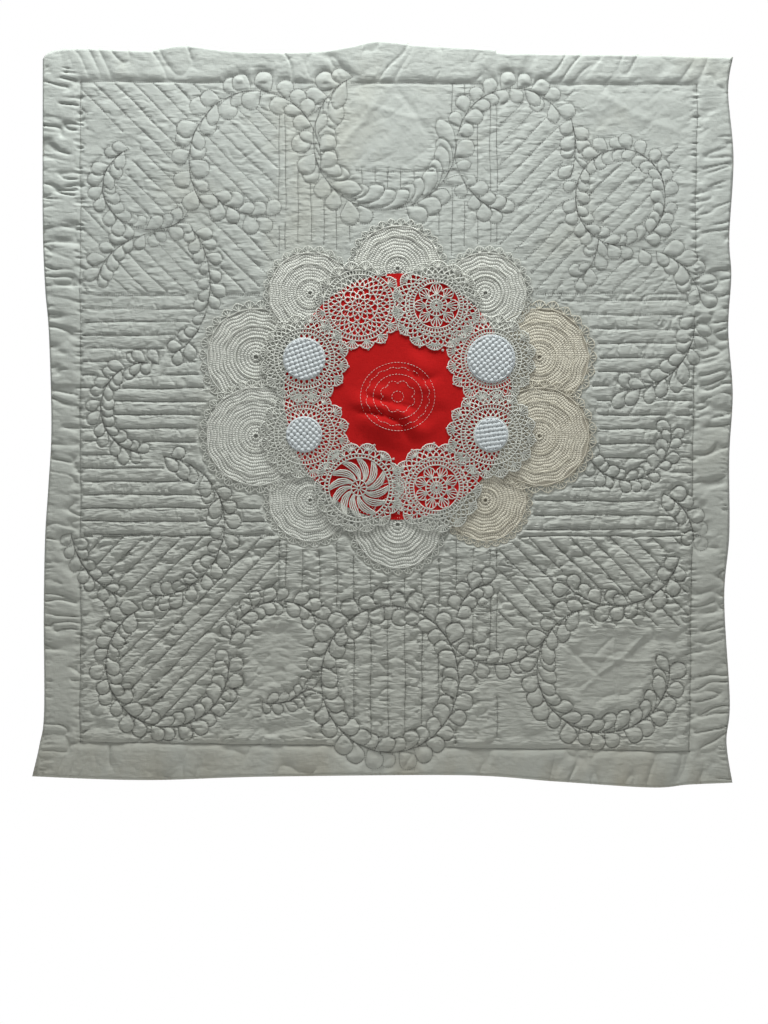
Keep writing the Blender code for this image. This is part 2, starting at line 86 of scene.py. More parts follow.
# The stitched frame line: its corners from the top left, clockwise
FRAME = ((-0.627, -0.083), (0.635, -0.089), (0.619, -1.454), (-0.627, -1.434))

SEAMS_X = (-0.221, 0.225)
SEAMS_Z = (-0.517, -1.013)
# Columns: left, right, top, bottom, direction, pitch, then the crinkles' direction, spacing and depth
CHANNELS = (
    (-0.627, -0.221, -0.083, -0.517, -45, 0.0283, -10, 0.0102, 0.0019),
    (-0.221, 0.225, -0.083, -0.517, 90, 0.0262, 2, 0.0070, 0.0012),
    (0.225, 0.635, -0.083, -0.517, 45, 0.0290, 22, 0.0088, 0.0019),
    (-0.627, -0.221, -0.517, -1.013, 0, 0.0272, 84, 0.0078, 0.0022),
    (0.225, 0.632, -0.517, -1.013, 0, 0.0293, 74, 0.0082, 0.0030),
    (-0.627, -0.221, -1.013, -1.436, 45, 0.0287, 10, 0.0098, 0.0050),
    (-0.221, 0.225, -1.013, -1.440, 90, 0.0349, 0, 0.0076, 0.0044),
    (0.225, 0.620, -1.013, -1.200, -45, 0.0300, -6, 0.0082, 0.0048),
)
PLAIN = (  # left, right, top, bottom of the places with no channels
    (-0.125, 0.130, -0.083, -0.262),
    (0.385, 0.640, -0.083, -0.215),
    (0.600, 0.640, -0.200, -0.450),
    (-0.640, -0.575, -0.150, -0.300),
    (-0.575, -0.535, -0.185, -0.280),
    (-0.640, -0.575, -1.110, -1.440),
    (-0.640, -0.300, -1.395, -1.440),
    (-0.305, -0.221, -1.130, -1.440),
    (-0.221, -0.135, -1.150, -1.440),
    (0.150, 0.225, -1.250, -1.445),
)
PLAIN_LINE = (-0.062, 0.126, -0.266)  # left, right, z

LEAF_LEAST = 0.0065
LEAF_LEAN = 44
LEAF_CLOSE = 0.82
# Columns: centre x, z, half sizes, from and to in degrees, pitch,
# then the outer leaves' length and half width and the inner ones'
FEATHERS = (
    (-0.270, -0.246, 0.135, 0.145, -5, 215, 0.041, 0.043, 0.0185, 0.044, 0.0185),
    (-0.004, -0.201, 0.147, 0.144, 117, 358, 0.038, 0.048, 0.0185, 0.064, 0.0155),
    (0.478, -0.319, 0.092, 0.099, 0, 360, 0.030, 0.034, 0.0135, 0.034, 0.0120),
    (0.006, -1.306, 0.141, 0.150, 90, 450, 0.039, 0.042, 0.0180, 0.044, 0.0170),
    (0.443, -1.286, 0.136, 0.130, 107, 363, 0.036, 0.040, 0.0170, 0.047, 0.0130),
    (-0.449, -1.276, 0.126, 0.128, 117, 365, 0.033, 0.037, 0.0145, 0.040, 0.0145),
    (0.491, -0.801, 0.091, 0.098, 150, 368, 0.028, 0.030, 0.0110, 0.032, 0.0125),
    (-0.492, -0.751, 0.094, 0.093, 75, 265, 0.028, 0.034, 0.0115, 0.032, 0.0120),
    (-0.482, -0.298, 0.100, 0.088, 118, 318, 0.030, 0.035, 0.0135, 0.038, 0.0125),
    (0.258, -0.216, 0.116, 0.120, 168, 35, 0.036, 0.038, 0.0155, 0.040, 0.0155),
    (0.268, -0.216, 0.118, 0.150, 22, -25, 0.036, 0.038, 0.0160, 0.036, 0.0140),
    (0.278, -0.216, 0.140, 0.140, 190, 255, 0.034, 0.036, 0.0150, 0.038, 0.0150),
    (-0.252, -0.236, 0.135, 0.122, 212, 280, 0.036, 0.040, 0.0160, 0.040, 0.0160),
    (-0.432, -0.496, 0.160, 0.110, 95, 175, 0.032, 0.038, 0.0130, 0.034, 0.0120),
    (-0.470, -0.496, 0.108, 0.150, 50, -70, 0.031, 0.036, 0.0130, 0.032, 0.0120),
    (-0.467, -0.988, 0.135, 0.138, 85, 0, 0.034, 0.037, 0.0150, 0.044, 0.0130),
    (0.318, -0.406, 0.115, 0.105, 5, -55, 0.032, 0.036, 0.0140, 0.034, 0.0130),
    (0.518, -0.546, 0.125, 0.120, 90, 8, 0.037, 0.046, 0.0165, 0.040, 0.0150),
    (0.490, -0.576, 0.140, 0.138, 5, -95, 0.032, 0.042, 0.0130, 0.040, 0.0140),
    (0.538, -1.026, 0.090, 0.105, 72, 0, 0.032, 0.037, 0.0150, 0.034, 0.0130),
    (0.468, -1.026, 0.135, 0.130, -14, -140, 0.036, 0.036, 0.0150, 0.036, 0.0145),
    (-0.477, -0.986, 0.145, 0.150, -4, -95, 0.034, 0.038, 0.0135, 0.035, 0.0130),
    (-0.492, -0.986, 0.155, 0.160, 188, 250, 0.030, 0.033, 0.0120, 0.031, 0.0115),
    (-0.220, -1.248, 0.103, 0.102, 172, 40, 0.031, 0.036, 0.0130, 0.038, 0.0130),
    (0.228, -1.191, 0.086, 0.084, 172, 100, 0.031, 0.036, 0.0145, 0.034, 0.0130),
    (0.223, -1.166, 0.118, 0.110, 212, 310, 0.034, 0.036, 0.0150, 0.038, 0.0135),
    (-0.232, -1.276, 0.085, 0.080, 255, 325, 0.027, 0.028, 0.0100, 0.028, 0.0095),
)

CREASES = (  # from x, z to x, z, half width, height of a soft ridge or trough
    (0.330, -0.283, 0.640, -0.290, 0.0045, 0.0012),
    (0.385, -1.262, 0.610, -1.270, 0.0036, 0.0018),
    (0.462, -1.150, 0.470, -1.375, 0.0036, 0.0018),
    (0.400, -1.330, 0.530, -1.215, 0.0052, 0.0024),
    (0.520, -1.170, 0.590, -1.300, 0.0060, -0.0021),
    (0.345, -1.225, 0.440, -1.300, 0.0052, -0.0020),
    (-0.095, -0.225, -0.020, -0.120, 0.0080, 0.0014),
    (0.020, -0.105, 0.110, -0.215, 0.0080, -0.0013),
    (-0.060, -0.130, 0.090, -0.160, 0.0070, 0.0010),
    (0.430, -0.110, 0.600, -0.190, 0.0080, 0.0013),
    (-0.560, -1.395, -0.330, -1.415, 0.0060, 0.0010),
    (0.230, -1.300, 0.300, -1.425, 0.0080, 0.0014),
    (-0.330, -1.330, -0.250, -1.420, 0.0080, 0.0013),
)

CENTRE = (0.022, -0.728)
FLOOR_THICK = 0.0050
UNDER_LACE = 0.0058
OUTER_LIFT = 0.0009
INNER_LIFT = 0.0007
INNER_STEP = 0.0009
RED_FACE = 0.0093
GAP = 0.0003
LACE_THICK = 0.0010
RED_HALF = (0.232, 0.252)
RED_THICK = 0.0010
RED_FOLD = 0.0095
OUTER_RING = {"count": 10, "half": (0.305, 0.262), "start": 18}
INNER_RING = {"count": 8, "half": (0.207, 0.202), "start": 22.5}
OUTER_SIZES = (0.118, 0.098, 0.104, 0.098, 0.118)
CREAM_ONES = (0, 8, 9)
INNER_RADIUS = 0.094
WOVEN_ROUNDS = (  # place in the inner ring, radius, turn in degrees
    (0, 0.046, 38),
    (3, 0.040, 20),
    (4, 0.034, 50),
    (7, 0.032, 8),
)
WOVEN_PITCH = 0.0090
WOVEN_SWING = 0.0017
WOVEN_LIFT = 0.0024
CORD = 0.0028
# Across a strap: shares of the pitch, and how far the strap's face drops there
STRAP = ((-0.47, 0.0015), (-0.33, 0.0004), (0.0, -0.0005), (0.33, 0.0004), (0.47, 0.0015))
INNER_KINDS = ("rim", "web", "net", "rim", "rim", "star", "web", "rim")

# The fine model of the cloth
PITCH = 0.0025
SNAP_SHARE = 0.46  # of the pitch: nearer grid points move onto the stitched line
HIDDEN_DEPTH = 0.016  # cloth that is deeper than this under the lace is left out
PUFF_REACH = 0.0125
LINE_STEP = 0.004
SAMPLE_STEP = 0.001
LACE_CLEAR = 0.004
SPINE_CLEAR = 0.024
LINE_CLEAR = 0.003
STITCH_PITCH = 0.0047
STITCH_HALF = 0.00150
STITCH_RADIUS = 0.00098
STITCH_LIFT = 0.0010
EDGE_STITCH_PITCH = 0.0094
EDGE_STITCH_ACROSS = 0.0008
TOP_STITCH_ACROSS = 0.0013
# An overcast stitch: how far inward and how far above the wall its thread goes
EDGE_STITCH = ((0.0052, 0.0062), (0.0024, 0.0062), (-0.0001, 0.0034), (0.0001, 0.0010))
RUNNING_RINGS = ((0.012, 0), (0.030, 8), (0.050, 0), (0.062, 16), (0.076, 0))  # radius, petals
RUNNING_PITCH = 0.0066
RUNNING_HALF = 0.0021
RUNNING_ACROSS = 0.0009

# Crochet: threads and stitches are metres across, and radii are shares of the round's
THREAD = 0.0014
THICK_THREAD = 0.0018
INNER_THREAD_SCALE = 1.70
ROW_PITCHES = (0.0062, 0.0072, 0.0066)
ROW_STITCH_PITCH = 0.0043
ROW_STITCH_HALF = (0.0032, 0.0022)
ROW_STITCH_HIGH = 0.0017
GROUND_SHARE = 0.88

# The camera, whose view has this height at the wall, and the floor
CAMERA_PLACE = (-0.006, -4.5, -0.964)
SENSOR = 36
VIEW_HIGH = 2.099
FLOOR_Z = -2.2
QUILT_COLOUR = (0.50, 0.535, 0.505)


def uneven(number):
    return 0.5 + 0.5 * math.sin(2.3 * number + 1.7 * math.sin(0.71 * number))


def noise(a, b, seed):
    """Soft noise from -1 to 1 over a plane, with one bump to each unit."""
    table = np.random.default_rng(seed).uniform(-1, 1, (256, 256))
    i, k = np.floor(a).astype(int), np.floor(b).astype(int)
    s, t = a - i, b - k
    s, t = s * s * (3 - 2 * s), t * t * (3 - 2 * t)

    def at(across, up):
        return table[(i + across) % 256, (k + up) % 256]

    return (at(0, 0) * (1 - s) + at(1, 0) * s) * (1 - t) + (at(0, 1) * (1 - s) + at(1, 1) * s) * t


def ease(value, low, high):
    """From 0 at low to 1 at high, softly."""
    t = np.clip((value - low) / (high - low), 0, 1)
    return t * t * (3 - 2 * t)


def within(value, low, high, soft):
    """One between low and high, and from there softly to nothing."""
    return ease(value, low - soft, low + soft) * ease(-value, -high - soft, -high + soft)


def smooth_line(rows, step):
    """Points about a step apart on a soft curve through the rows, with the last one."""
    rows = [np.array(r, float) for r in rows]
    points = []
    for i in range(len(rows) - 1):
        before, start = rows[max(i - 1, 0)], rows[i]
        end, after = rows[i + 1], rows[min(i + 2, len(rows) - 1)]
        count = max(1, round(float(np.linalg.norm(end - start)) / step))
        for k in range(count):
            t = k / count
            bend = (before - 2.5 * start + 2 * end - 0.5 * after) * t * t
            bend += (-0.5 * before + 1.5 * start - 1.5 * end + 0.5 * after) * t**3
            points.append(start + (end - before) * 0.5 * t + bend)
    points.append(rows[-1])
    return np.array(points)


def respace(points, step):
    """Points at an even step along a line, with its tangents."""
    points = np.asarray(points, float)
    legs = np.linalg.norm(np.diff(points, axis=0), axis=1)
    along = np.concatenate([[0.0], np.cumsum(legs)])
    count = max(2, round(along[-1] / step) + 1)
    at = np.linspace(0, along[-1], count)
    spots = np.stack([np.interp(at, along, points[:, k]) for k in range(points.shape[1])], axis=1)
    tangents = np.gradient(spots, axis=0)
    return spots, tangents / np.maximum(np.linalg.norm(tangents, axis=1, keepdims=True), 1e-9)


def respace_all(lines, step):
    """The points of many lines at an even step, with their tangents."""
    samples = [respace(line, step) for line in lines]
    return np.concatenate([s[0] for s in samples]), np.concatenate([s[1] for s in samples])


def direction(degrees):
    """The cosine and the sine of an angle."""
    return math.cos(math.radians(degrees)), math.sin(math.radians(degrees))


def turns(count):
    """A number of even turns round a circle."""
    return 2 * math.pi * np.arange(count) / count


def on_ellipse(centre, half, degrees):
    cos, sin = direction(degrees)
    return Vector((centre[0] + half[0] * cos, centre[1] + half[1] * sin))


def doily_rows():
    """What each doily is, the outer ring's first."""
    rows = []
    for side, ring in (("outer", OUTER_RING), ("inner", INNER_RING)):
        outer = side == "outer"
        for i in range(ring["count"]):
            rows.append(
                {
                    "name": f"doily_{side}_{i + 1}",
                    "kind": "dense" if outer else INNER_KINDS[i],
                    "cream": outer and i in CREAM_ONES,
                    "place": on_ellipse(CENTRE, ring["half"], ring["start"] + 360 * i / ring["count"]),
                    "radius": OUTER_SIZES[i % len(OUTER_SIZES)] if outer else INNER_RADIUS,
                    "layer": i % 2 if outer else 2 + i % 2,
                    "number": i,
                    "turn": (31 if outer else 23) * i,
                }
            )
    return rows


def layer_back(layer):
    """How far from the wall the back of a lace layer lies. The red cloth is between layers 1 and 2."""
    red = RED_THICK + GAP if layer > 1 else 0.0
    return FLOOR_THICK + GAP + layer * (LACE_THICK + GAP) + red


def soft_wave(x, z):
    away = np.maximum(0.0, np.hypot((x - CENTRE[0]) / 0.70, (z - CENTRE[1]) / 0.75) - 0.72)
    swing = 0.5 - 0.5 * np.cos(9.0 * x + 4.0 * np.sin(3.1 * z + 0.6))
    hang = np.clip(-z / 0.4, 0.0, 1.0)
    return SOFT_WAVE * np.minimum(1.0, 2.2 * away) * swing * hang


def frame_x(z, right):
    low, high = (FRAME[2], FRAME[1]) if right else (FRAME[3], FRAME[0])
    return low[0] + (high[0] - low[0]) * (z - low[1]) / (high[1] - low[1])


def frame_z(x, top):
    low, high = (FRAME[0], FRAME[1]) if top else (FRAME[3], FRAME[2])
    return low[1] + (high[1] - low[1]) * (x - low[0]) / (high[0] - low[0])


def inside_frame(x, z):
    """How far inside the frame line a place is, less than nothing outside it."""
    across = np.minimum(x - frame_x(z, False), frame_x(z, True) - x)
    return np.minimum(across, np.minimum(z - frame_z(x, False), frame_z(x, True) - z))


def inside_collage(x, z):
    """How far a place is within the red cloth or a doily, less than nothing outside them."""
    red = (1 - np.hypot((x - CENTRE[0]) / RED_HALF[0], (z - CENTRE[1]) / RED_HALF[1])) * RED_HALF[0]
    for d in DOILIES:
        red = np.maximum(red, d["radius"] - np.hypot(x - d["place"].x, z - d["place"].y))
    return red


def tree_of(points):
    tree = KDTree(len(points))
    for number, point in enumerate(points):
        tree.insert((point[0], point[1], 0.0), number)
    tree.balance()
    return tree


def search(tree, x, z):
    """The number and the distance of a tree's nearest point to each place."""
    hits = [tree.find((a, b, 0.0)) for a, b in zip(x.tolist(), z.tolist())]
    return np.array([hit[1] for hit in hits]), np.array([hit[2] for hit in hits])


def shown_runs(points, shown, least):
    """The unbroken runs of a line's shown points, less those with fewer points than the least."""
    runs, run = [], []
    for point, show in zip(points, shown):
        if show:
            run.append(point)
        else:
            runs.append(run)
            run = []
    return [run for run in runs + [run] if len(run) >= least]


def feather_strands():
    """Each strand's roots, one to a lobe."""
    strands = []
    for number, (x, z, wide, high, start, end, pitch, *_) in enumerate(FEATHERS):
        long = abs(math.radians(end - start)) * math.sqrt((wide**2 + high**2) / 2)
        count = max(2, round(long / (LEAF_CLOSE * pitch)))
        strand = []
        for k in range(count + 1):
            share = (k + 0.34 * (uneven(k + 5 * number) - 0.5) * (0 < k < count)) / count
            strand.append(np.array(on_ellipse((x, z), (wide, high), start + (end - start) * share)))
        strands.append(strand)
    return strands


def leaf_half(share, half):
    """Half the width of a leaf at a share of its length: pointed at its root, round at its head."""
    return half * np.maximum(np.sin(math.pi * np.clip(share, 0, 1) ** 1.45), 0) ** 0.62


def beyond_leaf(x, z, root_x, root_z, axis_x, axis_z, long, half):
    """About how far places are outside a leaf, less than nothing within it."""
    along = (x - root_x) * axis_x + (z - root_z) * axis_z
    aside = np.abs((z - root_z) * axis_x - (x - root_x) * axis_z)
    return np.maximum(aside - leaf_half(along / long, half), np.abs(along - long / 2) - long / 2)


def leaf_line(root_x, root_z, axis_x, axis_z, long, half):
    """The stitched outline of a leaf, from its root round its head and back."""
    share = 0.5 - 0.5 * np.cos(np.linspace(0, math.pi, 17))
    wide = leaf_half(share, half)
    sides = []
    for aside in (wide, -wide):
        x = root_x + axis_x * share * long - aside * axis_z
        z = root_z + axis_z * share * long + aside * axis_x
        sides.append(np.stack([x, z], axis=1))
    return smooth_line(np.concatenate([sides[0], sides[1][-2::-1]]), 0.002)


def feather_leaves(strands):
    """Leaves on both sides of each strand, as root, axis, length and half width, and their middles.

    The earlier of two leaves lies over the later one.
    """
    leaves, middles, owners = [], np.zeros((0, 2)), []
    spines = tree_of(np.concatenate([smooth_line(s, 0.003) for s in strands]))
    lean = math.radians(LEAF_LEAN)
    for number, strand in enumerate(strands):
        line = smooth_line(strand, 0.002)
        ways = np.gradient(line, axis=0)
        ways /= np.linalg.norm(ways, axis=1, keepdims=True)
        start, end, _, outer_long, outer_half, inner_long, inner_half = FEATHERS[number][4:]
        for side in (1, -1):
            outer = (side > 0) == (end > start)
            own_long, own_half = (outer_long, outer_half) if outer else (inner_long, inner_half)
            for k in range(len(strand) - 1):
                foot = strand[k] if side > 0 else (strand[k] + strand[k + 1]) / 2
                at = int(np.linalg.norm(line - foot, axis=1).argmin())
                luck = 2 * uneven(3 * k + 7 * number + side) - 1
                out = np.array((ways[at][1], -ways[at][0])) * side
                turn = lean * (1 + 0.20 * (2 * uneven(k + 11 * number) - 1))
                axis = out * math.cos(turn) + ways[at] * math.sin(turn)
                long, half = own_long * (1 + 0.10 * luck), own_half * (1 + 0.08 * luck)
                middle = line[at] + axis * long * 0.60
                half = min(half, spines.find((*middle, 0.0))[2] - 0.0005)
                near = np.linalg.norm(middles - middle, axis=1)
                others = [n for n, owner in zip(near, owners) if owner != (number, side)]
                covered = others and min(others) < 0.75 * half
                hidden = covered or inside_collage(*(line[at] + axis * long)) >= -LACE_CLEAR
                if half > LEAF_LEAST and not hidden:
                    leaves.append((*line[at], *axis, long, half))
                    middles = np.vstack([middles, middle])
                    owners.append((number, side))
    return np.array(leaves), middles


def feather_lines(strands, leaves):
    """The stitched lines of the spines, less those under the lace, and of the leaves where they show."""
    lines = []
    for strand in strands:
        points = smooth_line(strand, 0.003)
        lines += shown_runs(points, [inside_collage(*point) < -LACE_CLEAR for point in points], 3)
    for number, leaf in enumerate(leaves):
        points = np.array(leaf_line(*leaf))
        shown = np.ones(len(points), bool)
        for _, other, _ in LEAF_TREE.find_range((*LEAF_MIDDLES[number], 0.0), 0.075):
            if other < number:
                shown &= beyond_leaf(points[:, 0], points[:, 1], *leaves[other]) > 0.0004
        lines += shown_runs(points, shown, 3)
    return lines


def outside_leaves(x, z, margin):
    """Whether a place is clear of the leaves near it."""
    near = LEAF_TREE.find_n((x, z, 0.0), 3)
    return all(beyond_leaf(x, z, *LEAVES[number]) > margin for _, number, _ in near)


def channel_lines(spine_tree):
    """The parallel lines of each block, the seam lines, and the line across the plain place."""
    lines = []

    def stitch(start, end, keep, sway):
        start, end = np.array(start, float), np.array(end, float)
        count = max(2, round(float(np.linalg.norm(end - start)) / 0.003))
        normal = np.array((start[1] - end[1], end[0] - start[0])) / np.linalg.norm(end - start)
        points = []
        for k in range(count + 1):
            point = start + (end - start) * k / count
            point = point + normal * 0.0014 * math.sin(0.043 * k + sway) * math.sin(0.11 * k + 2.1 * sway)
            points.append(point)
        lines.extend(shown_runs(points, [keep(*point) for point in points], 6))

    def clear(x, z, margin):
        if inside_frame(x, z) < margin or inside_collage(x, z) > -margin - LINE_CLEAR:
            return False
        if spine_tree.find((x, z, 0.0))[2] < SPINE_CLEAR or not outside_leaves(x, z, 0.0015):
            return False
        return not any(a < x < b and d < z < c for a, b, c, d in PLAIN)

    for left, right, top, bottom, degrees, pitch, _, _, _ in CHANNELS:
        along = np.array(direction(degrees))
        across = np.array((-along[1], along[0]))
        middle = np.array(((left + right) / 2, (top + bottom) / 2))
        half = math.hypot(right - left, top - bottom) / 2
        for k in range(-round(half / pitch), round(half / pitch) + 1):
            place = middle + across * k * pitch

            def keep(x, z):
                if min(x - left, right - x, z - bottom, top - z) <= LINE_CLEAR:
                    return False
                return clear(x, z, LINE_CLEAR)

            stitch(place - along * half, place + along * half, keep, 1.7 * k)
    for x in SEAMS_X:
        stitch((x, frame_z(x, True)), (x, frame_z(x, False)), lambda a, b: clear(a, b, 0.002), 9 * x)
    for z in SEAMS_Z:
        stitch((frame_x(z, False), z), (frame_x(z, True), z), lambda a, b: clear(a, b, 0.002), 9 * z)
    left, right, z = PLAIN_LINE
    stitch((left, z), (right, z), lambda a, b: True, 1)

    def beside_leaves(x, z):
        return outside_leaves(x, z, 0.001) and spine_tree.find((x, z, 0.0))[2] > 0.010

    for start, end in zip(FRAME, FRAME[1:] + FRAME[:1]):
        stitch(start, end, beside_leaves, 4)
    return lines


def troughs(x, z, degrees, wide, long, seed):
    """Short narrow troughs that run in one direction, from -0.8 to 0.2."""
    cos, sin = direction(degrees)
    along, across = x * cos + z * sin, z * cos - x * sin
    across = across + 0.4 * wide * noise(along / (0.6 * long), across / (2.2 * wide), seed + 1)
    line = (1 - np.abs(noise(along / long, across / wide, seed))) ** 3.4
    return 0.2 - line * ease(noise(along / (0.8 * long), across / (1.6 * wide), seed + 2), -0.45, 0.25)


def crinkle(x, z, far, leaf):
    """Troughs between the stitched lines, deepest in every second channel, and beside the frame line."""
    total = np.zeros_like(x)
    for left, right, top, bottom, degrees, pitch, way, wide, deep in CHANNELS:
        cos, sin = direction(degrees)
        across = (z - (top + bottom) / 2) * cos - (x - (left + right) / 2) * sin
        share = within(x, left, right, 0.012) * within(z, bottom, top, 0.012)
        band = 0.30 + 0.70 * (0.5 + 0.5 * np.sin(math.pi * across / pitch))
        total += share * deep * band * troughs(x, z, way, wide, 3.2 * wide, 3)
    lower = ease(-z, 0.35, 1.15)
    level = troughs(x, z, 3, 0.0078, 0.026, 8) * (0.0006 + 0.0013 * lower)
    loose = troughs(x, z, 35, 0.022, 0.070, 14) * (0.0009 + 0.0015 * lower)
    near = 0.40 + 0.60 * np.exp(-np.maximum(far - 0.004, 0) / 0.012)
    edge = inside_frame(x, z)
    beside = (z < -0.10) & (z > -1.43)
    ticks = troughs(x, z, 0, 0.0056, 0.030, 21) * np.exp(-((edge / 0.011) ** 2)) * beside
    plain = 1 - (0.62 - 0.27 * lower) * (1 - ease(leaf, -0.003, 0.001))
    folds = (1.0 + 0.6 * lower) * total * near + 0.55 * level * near**2 + loose
    return folds * plain * ease(edge, -0.004, 0.006) + 0.0045 * ticks


def fine_folds(x, z, far, leaf):
    """How strong the finest folds are: most near the stitches and low down, least on the border."""
    near = np.exp(-np.maximum(far - 0.005, 0) / 0.010)
    lower = ease(-z, 0.35, 1.1)
    share = (0.05 + 0.04 * lower + 0.25 * near) * (1 + 1.9 * lower)
    share = share * (1 - 0.4 * (1 - ease(leaf, -0.003, 0.001)))
    return 0.12 + (share - 0.12) * ease(inside_frame(x, z), -0.003, 0.012)


def crease(x, z):
    total = np.zeros_like(x)
    for x1, z1, x2, z2, wide, high in CREASES:
        long = math.hypot(x2 - x1, z2 - z1)
        ax, az = (x2 - x1) / long, (z2 - z1) / long
        along = (x - x1) * ax + (z - z1) * az
        across = (x - x1) * az - (z - z1) * ax + 0.003 * np.sin(38 * along + 90 * wide)
        ends = ease(along, -0.015, 0.02) * ease(long - along, -0.015, 0.02)
        total += high * ends * np.exp(-((across / wide) ** 2))
    return total


def puckers(x, z):
    """Folds across the border: level on the sides, slanting at the top, upright at the bottom."""
    over_x = np.maximum(frame_x(z, False) - x, x - frame_x(z, True))
    over_z = np.maximum(frame_z(x, False) - z, z - frame_z(x, True))
    side = ease(over_x - over_z, -0.02, 0.02)
    out = np.maximum(np.maximum(over_x, over_z), 0)
    ends = 1 - ease(out, 0.0, 0.016) + ease(out, 0.048, 0.066)
    level = np.where(x > 0, troughs(x, z, 14, 0.0130, 0.060, 11), troughs(x, z, -8, 0.0125, 0.060, 12))
    fine = 0.35 * troughs(x, z, 0, 0.0062, 0.030, 13) * (0.25 + 0.75 * ends)
    calm = np.where(x > 0, ease(z, -0.62, -0.32), 0)
    level = 0.72 + (0.85 * level + fine) * (1 - 0.5 * calm)
    slant = np.where(x > -0.05, troughs(x, z, 58, 0.0210, 0.080, 17), troughs(x, z, -64, 0.0240, 0.080, 18))
    slant = 0.76 + 0.42 * slant + 0.12 * troughs(x, z, 0, 0.010, 0.030, 15)
    upright = 0.72 + 0.62 * troughs(x, z, 75, 0.0230, 0.085, 19) + 0.10 * troughs(x, z, 5, 0.010, 0.030, 16)
    return side * level + (1 - side) * np.where(z > CENTRE[1], slant, upright)


def rise(far, reach, power=2):
    """From 0 at a line to 1 at a reach from it, steepest at the line."""
    return 1 - (1 - np.clip(far / reach, 0, 1)) ** power


def thickness(x, z, far, feather, leaf, rim):
    """The cloth's face above the wall, from how far the nearest stitch, spine, leaf and rim are."""
    in_leaf = 1 - ease(leaf, 0.0, 0.0012)
    steep = rise(far, STEEP_REACH)
    puff = STEEP_SHARE * steep + (1 - STEEP_SHARE) * rise(far, PUFF_REACH)
    gap = (1 - in_leaf) * (1 - ease(feather, 0.022, 0.030))
    high = PUFF_THICK + PUFF_MORE * ease(-z, 0.44, 0.78) * (1 - 0.25 * in_leaf)
    high = high + (LOBE_THICK - PUFF_THICK) * in_leaf - 0.0010 * gap
    high = high - (high - PLAIN_THICK) * ease(far, 0.015, 0.035)
    low = STITCH_THICK + 0.0003 * noise(x / 0.05, z / 0.05, 31)
    sag = 0.0009 * noise(x / 0.045, z / 0.045, 32) + 0.0004 * noise(x / 0.012, z / 0.012, 33)
    quilted = low + (high - low + sag) * puff
    border = BORDER_LOW + (BORDER_HIGH - BORDER_LOW) * 0.95 * puckers(x, z)
    border = low + (border + 0.5 * sag - low) * rise(far, BORDER_REACH)
    outside = 1 - ease(inside_frame(x, z), -0.001, 0.001)
    thick = quilted * (1 - outside) + border * outside
    thick = thick + crinkle(x, z, far, leaf) + crease(x, z) * puff
    thick = thick + 0.00022 * noise(x / 0.006, z / 0.006, 34)
    thick = EDGE_THICK + (thick - EDGE_THICK) * rise(rim, 0.006, 2.2)
    thick = np.maximum(thick, LEAST_THICK)
    return thick + (UNDER_LACE - thick) * ease(inside_collage(x, z), -0.006, 0.003) + soft_wave(x, z)


def edge_points(rows, count):
    """A number of points at an even step along an edge."""
    spots, _ = respace(smooth_line(rows, LINE_STEP), SAMPLE_STEP)
    at = np.linspace(0, len(spots) - 1, count)
    return np.stack([np.interp(at, np.arange(len(spots)), spots[:, k]) for k in (0, 1)], axis=1)


def cloth_grid():
    """A fine grid of places that fills the cloth's outline: rows run down, columns to the right."""
    columns, rows = (round(size / PITCH) for size in GRID_SIZE)
    top, bottom = edge_points(TOP_EDGE, columns + 1), edge_points(BOTTOM_EDGE[::-1], columns + 1)
    right, left = edge_points(RIGHT_EDGE, rows + 1), edge_points(LEFT_EDGE[::-1], rows + 1)
    u = np.linspace(0, 1, columns + 1)[None, :, None]
    v = np.linspace(0, 1, rows + 1)[:, None, None]
    spots = (1 - v) * top[None] + v * bottom[None] + (1 - u) * left[:, None] + u * right[:, None]
    corners = (1 - u) * (1 - v) * top[0] + u * (1 - v) * top[-1] + (1 - u) * v * bottom[0]
    return spots - corners - u * v * bottom[-1]


def nearest_stitch(x, z, stitches, tangents):
    """For each place, the nearest place on a stitched line and how far it is."""
    tree = tree_of(stitches)
    found, _ = search(tree, x, z)
    start, along = stitches[found], tangents[found]
    place = np.stack([x, z], axis=1)
    slide = np.clip(np.sum((place - start) * along, axis=1), -0.0006, 0.0006)
    spot = start + along * slide[:, None]
    return spot, np.linalg.norm(place - spot, axis=1)


def leaf_distance(x, z):
    """About how far places are outside the nearest leaf, less than nothing within it."""
    near = [LEAF_TREE.find_n((a, b, 0.0), 3) for a, b in zip(x.tolist(), z.tolist())]
    found = np.array([[hit[1] for hit in hits] for hits in near])
    return np.min([beyond_leaf(x, z, *LEAVES[found[:, k]].T) for k in range(3)], axis=0)


def link(name, mesh, material, slot):
    piece = bpy.data.objects.new(name, mesh)
    bpy.context.scene.collection.objects.link(piece)
    mesh.materials.append(material)
    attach(piece, "root")
    return piece


def new_mesh(name, points, faces):
    mesh = bpy.data.meshes.new(name)
    faces = faces.tolist() if isinstance(faces, np.ndarray) else faces
    mesh.from_pydata(np.asarray(points).tolist(), [], faces)
    mesh.shade_smooth()
    return mesh


def grid_faces(rows, columns):
    """The four corners of each face of a grid of points."""
    number = np.arange(rows * columns).reshape(rows, columns)
    return np.stack([number[:-1, :-1], number[1:, :-1], number[1:, 1:], number[:-1, 1:]], axis=2)


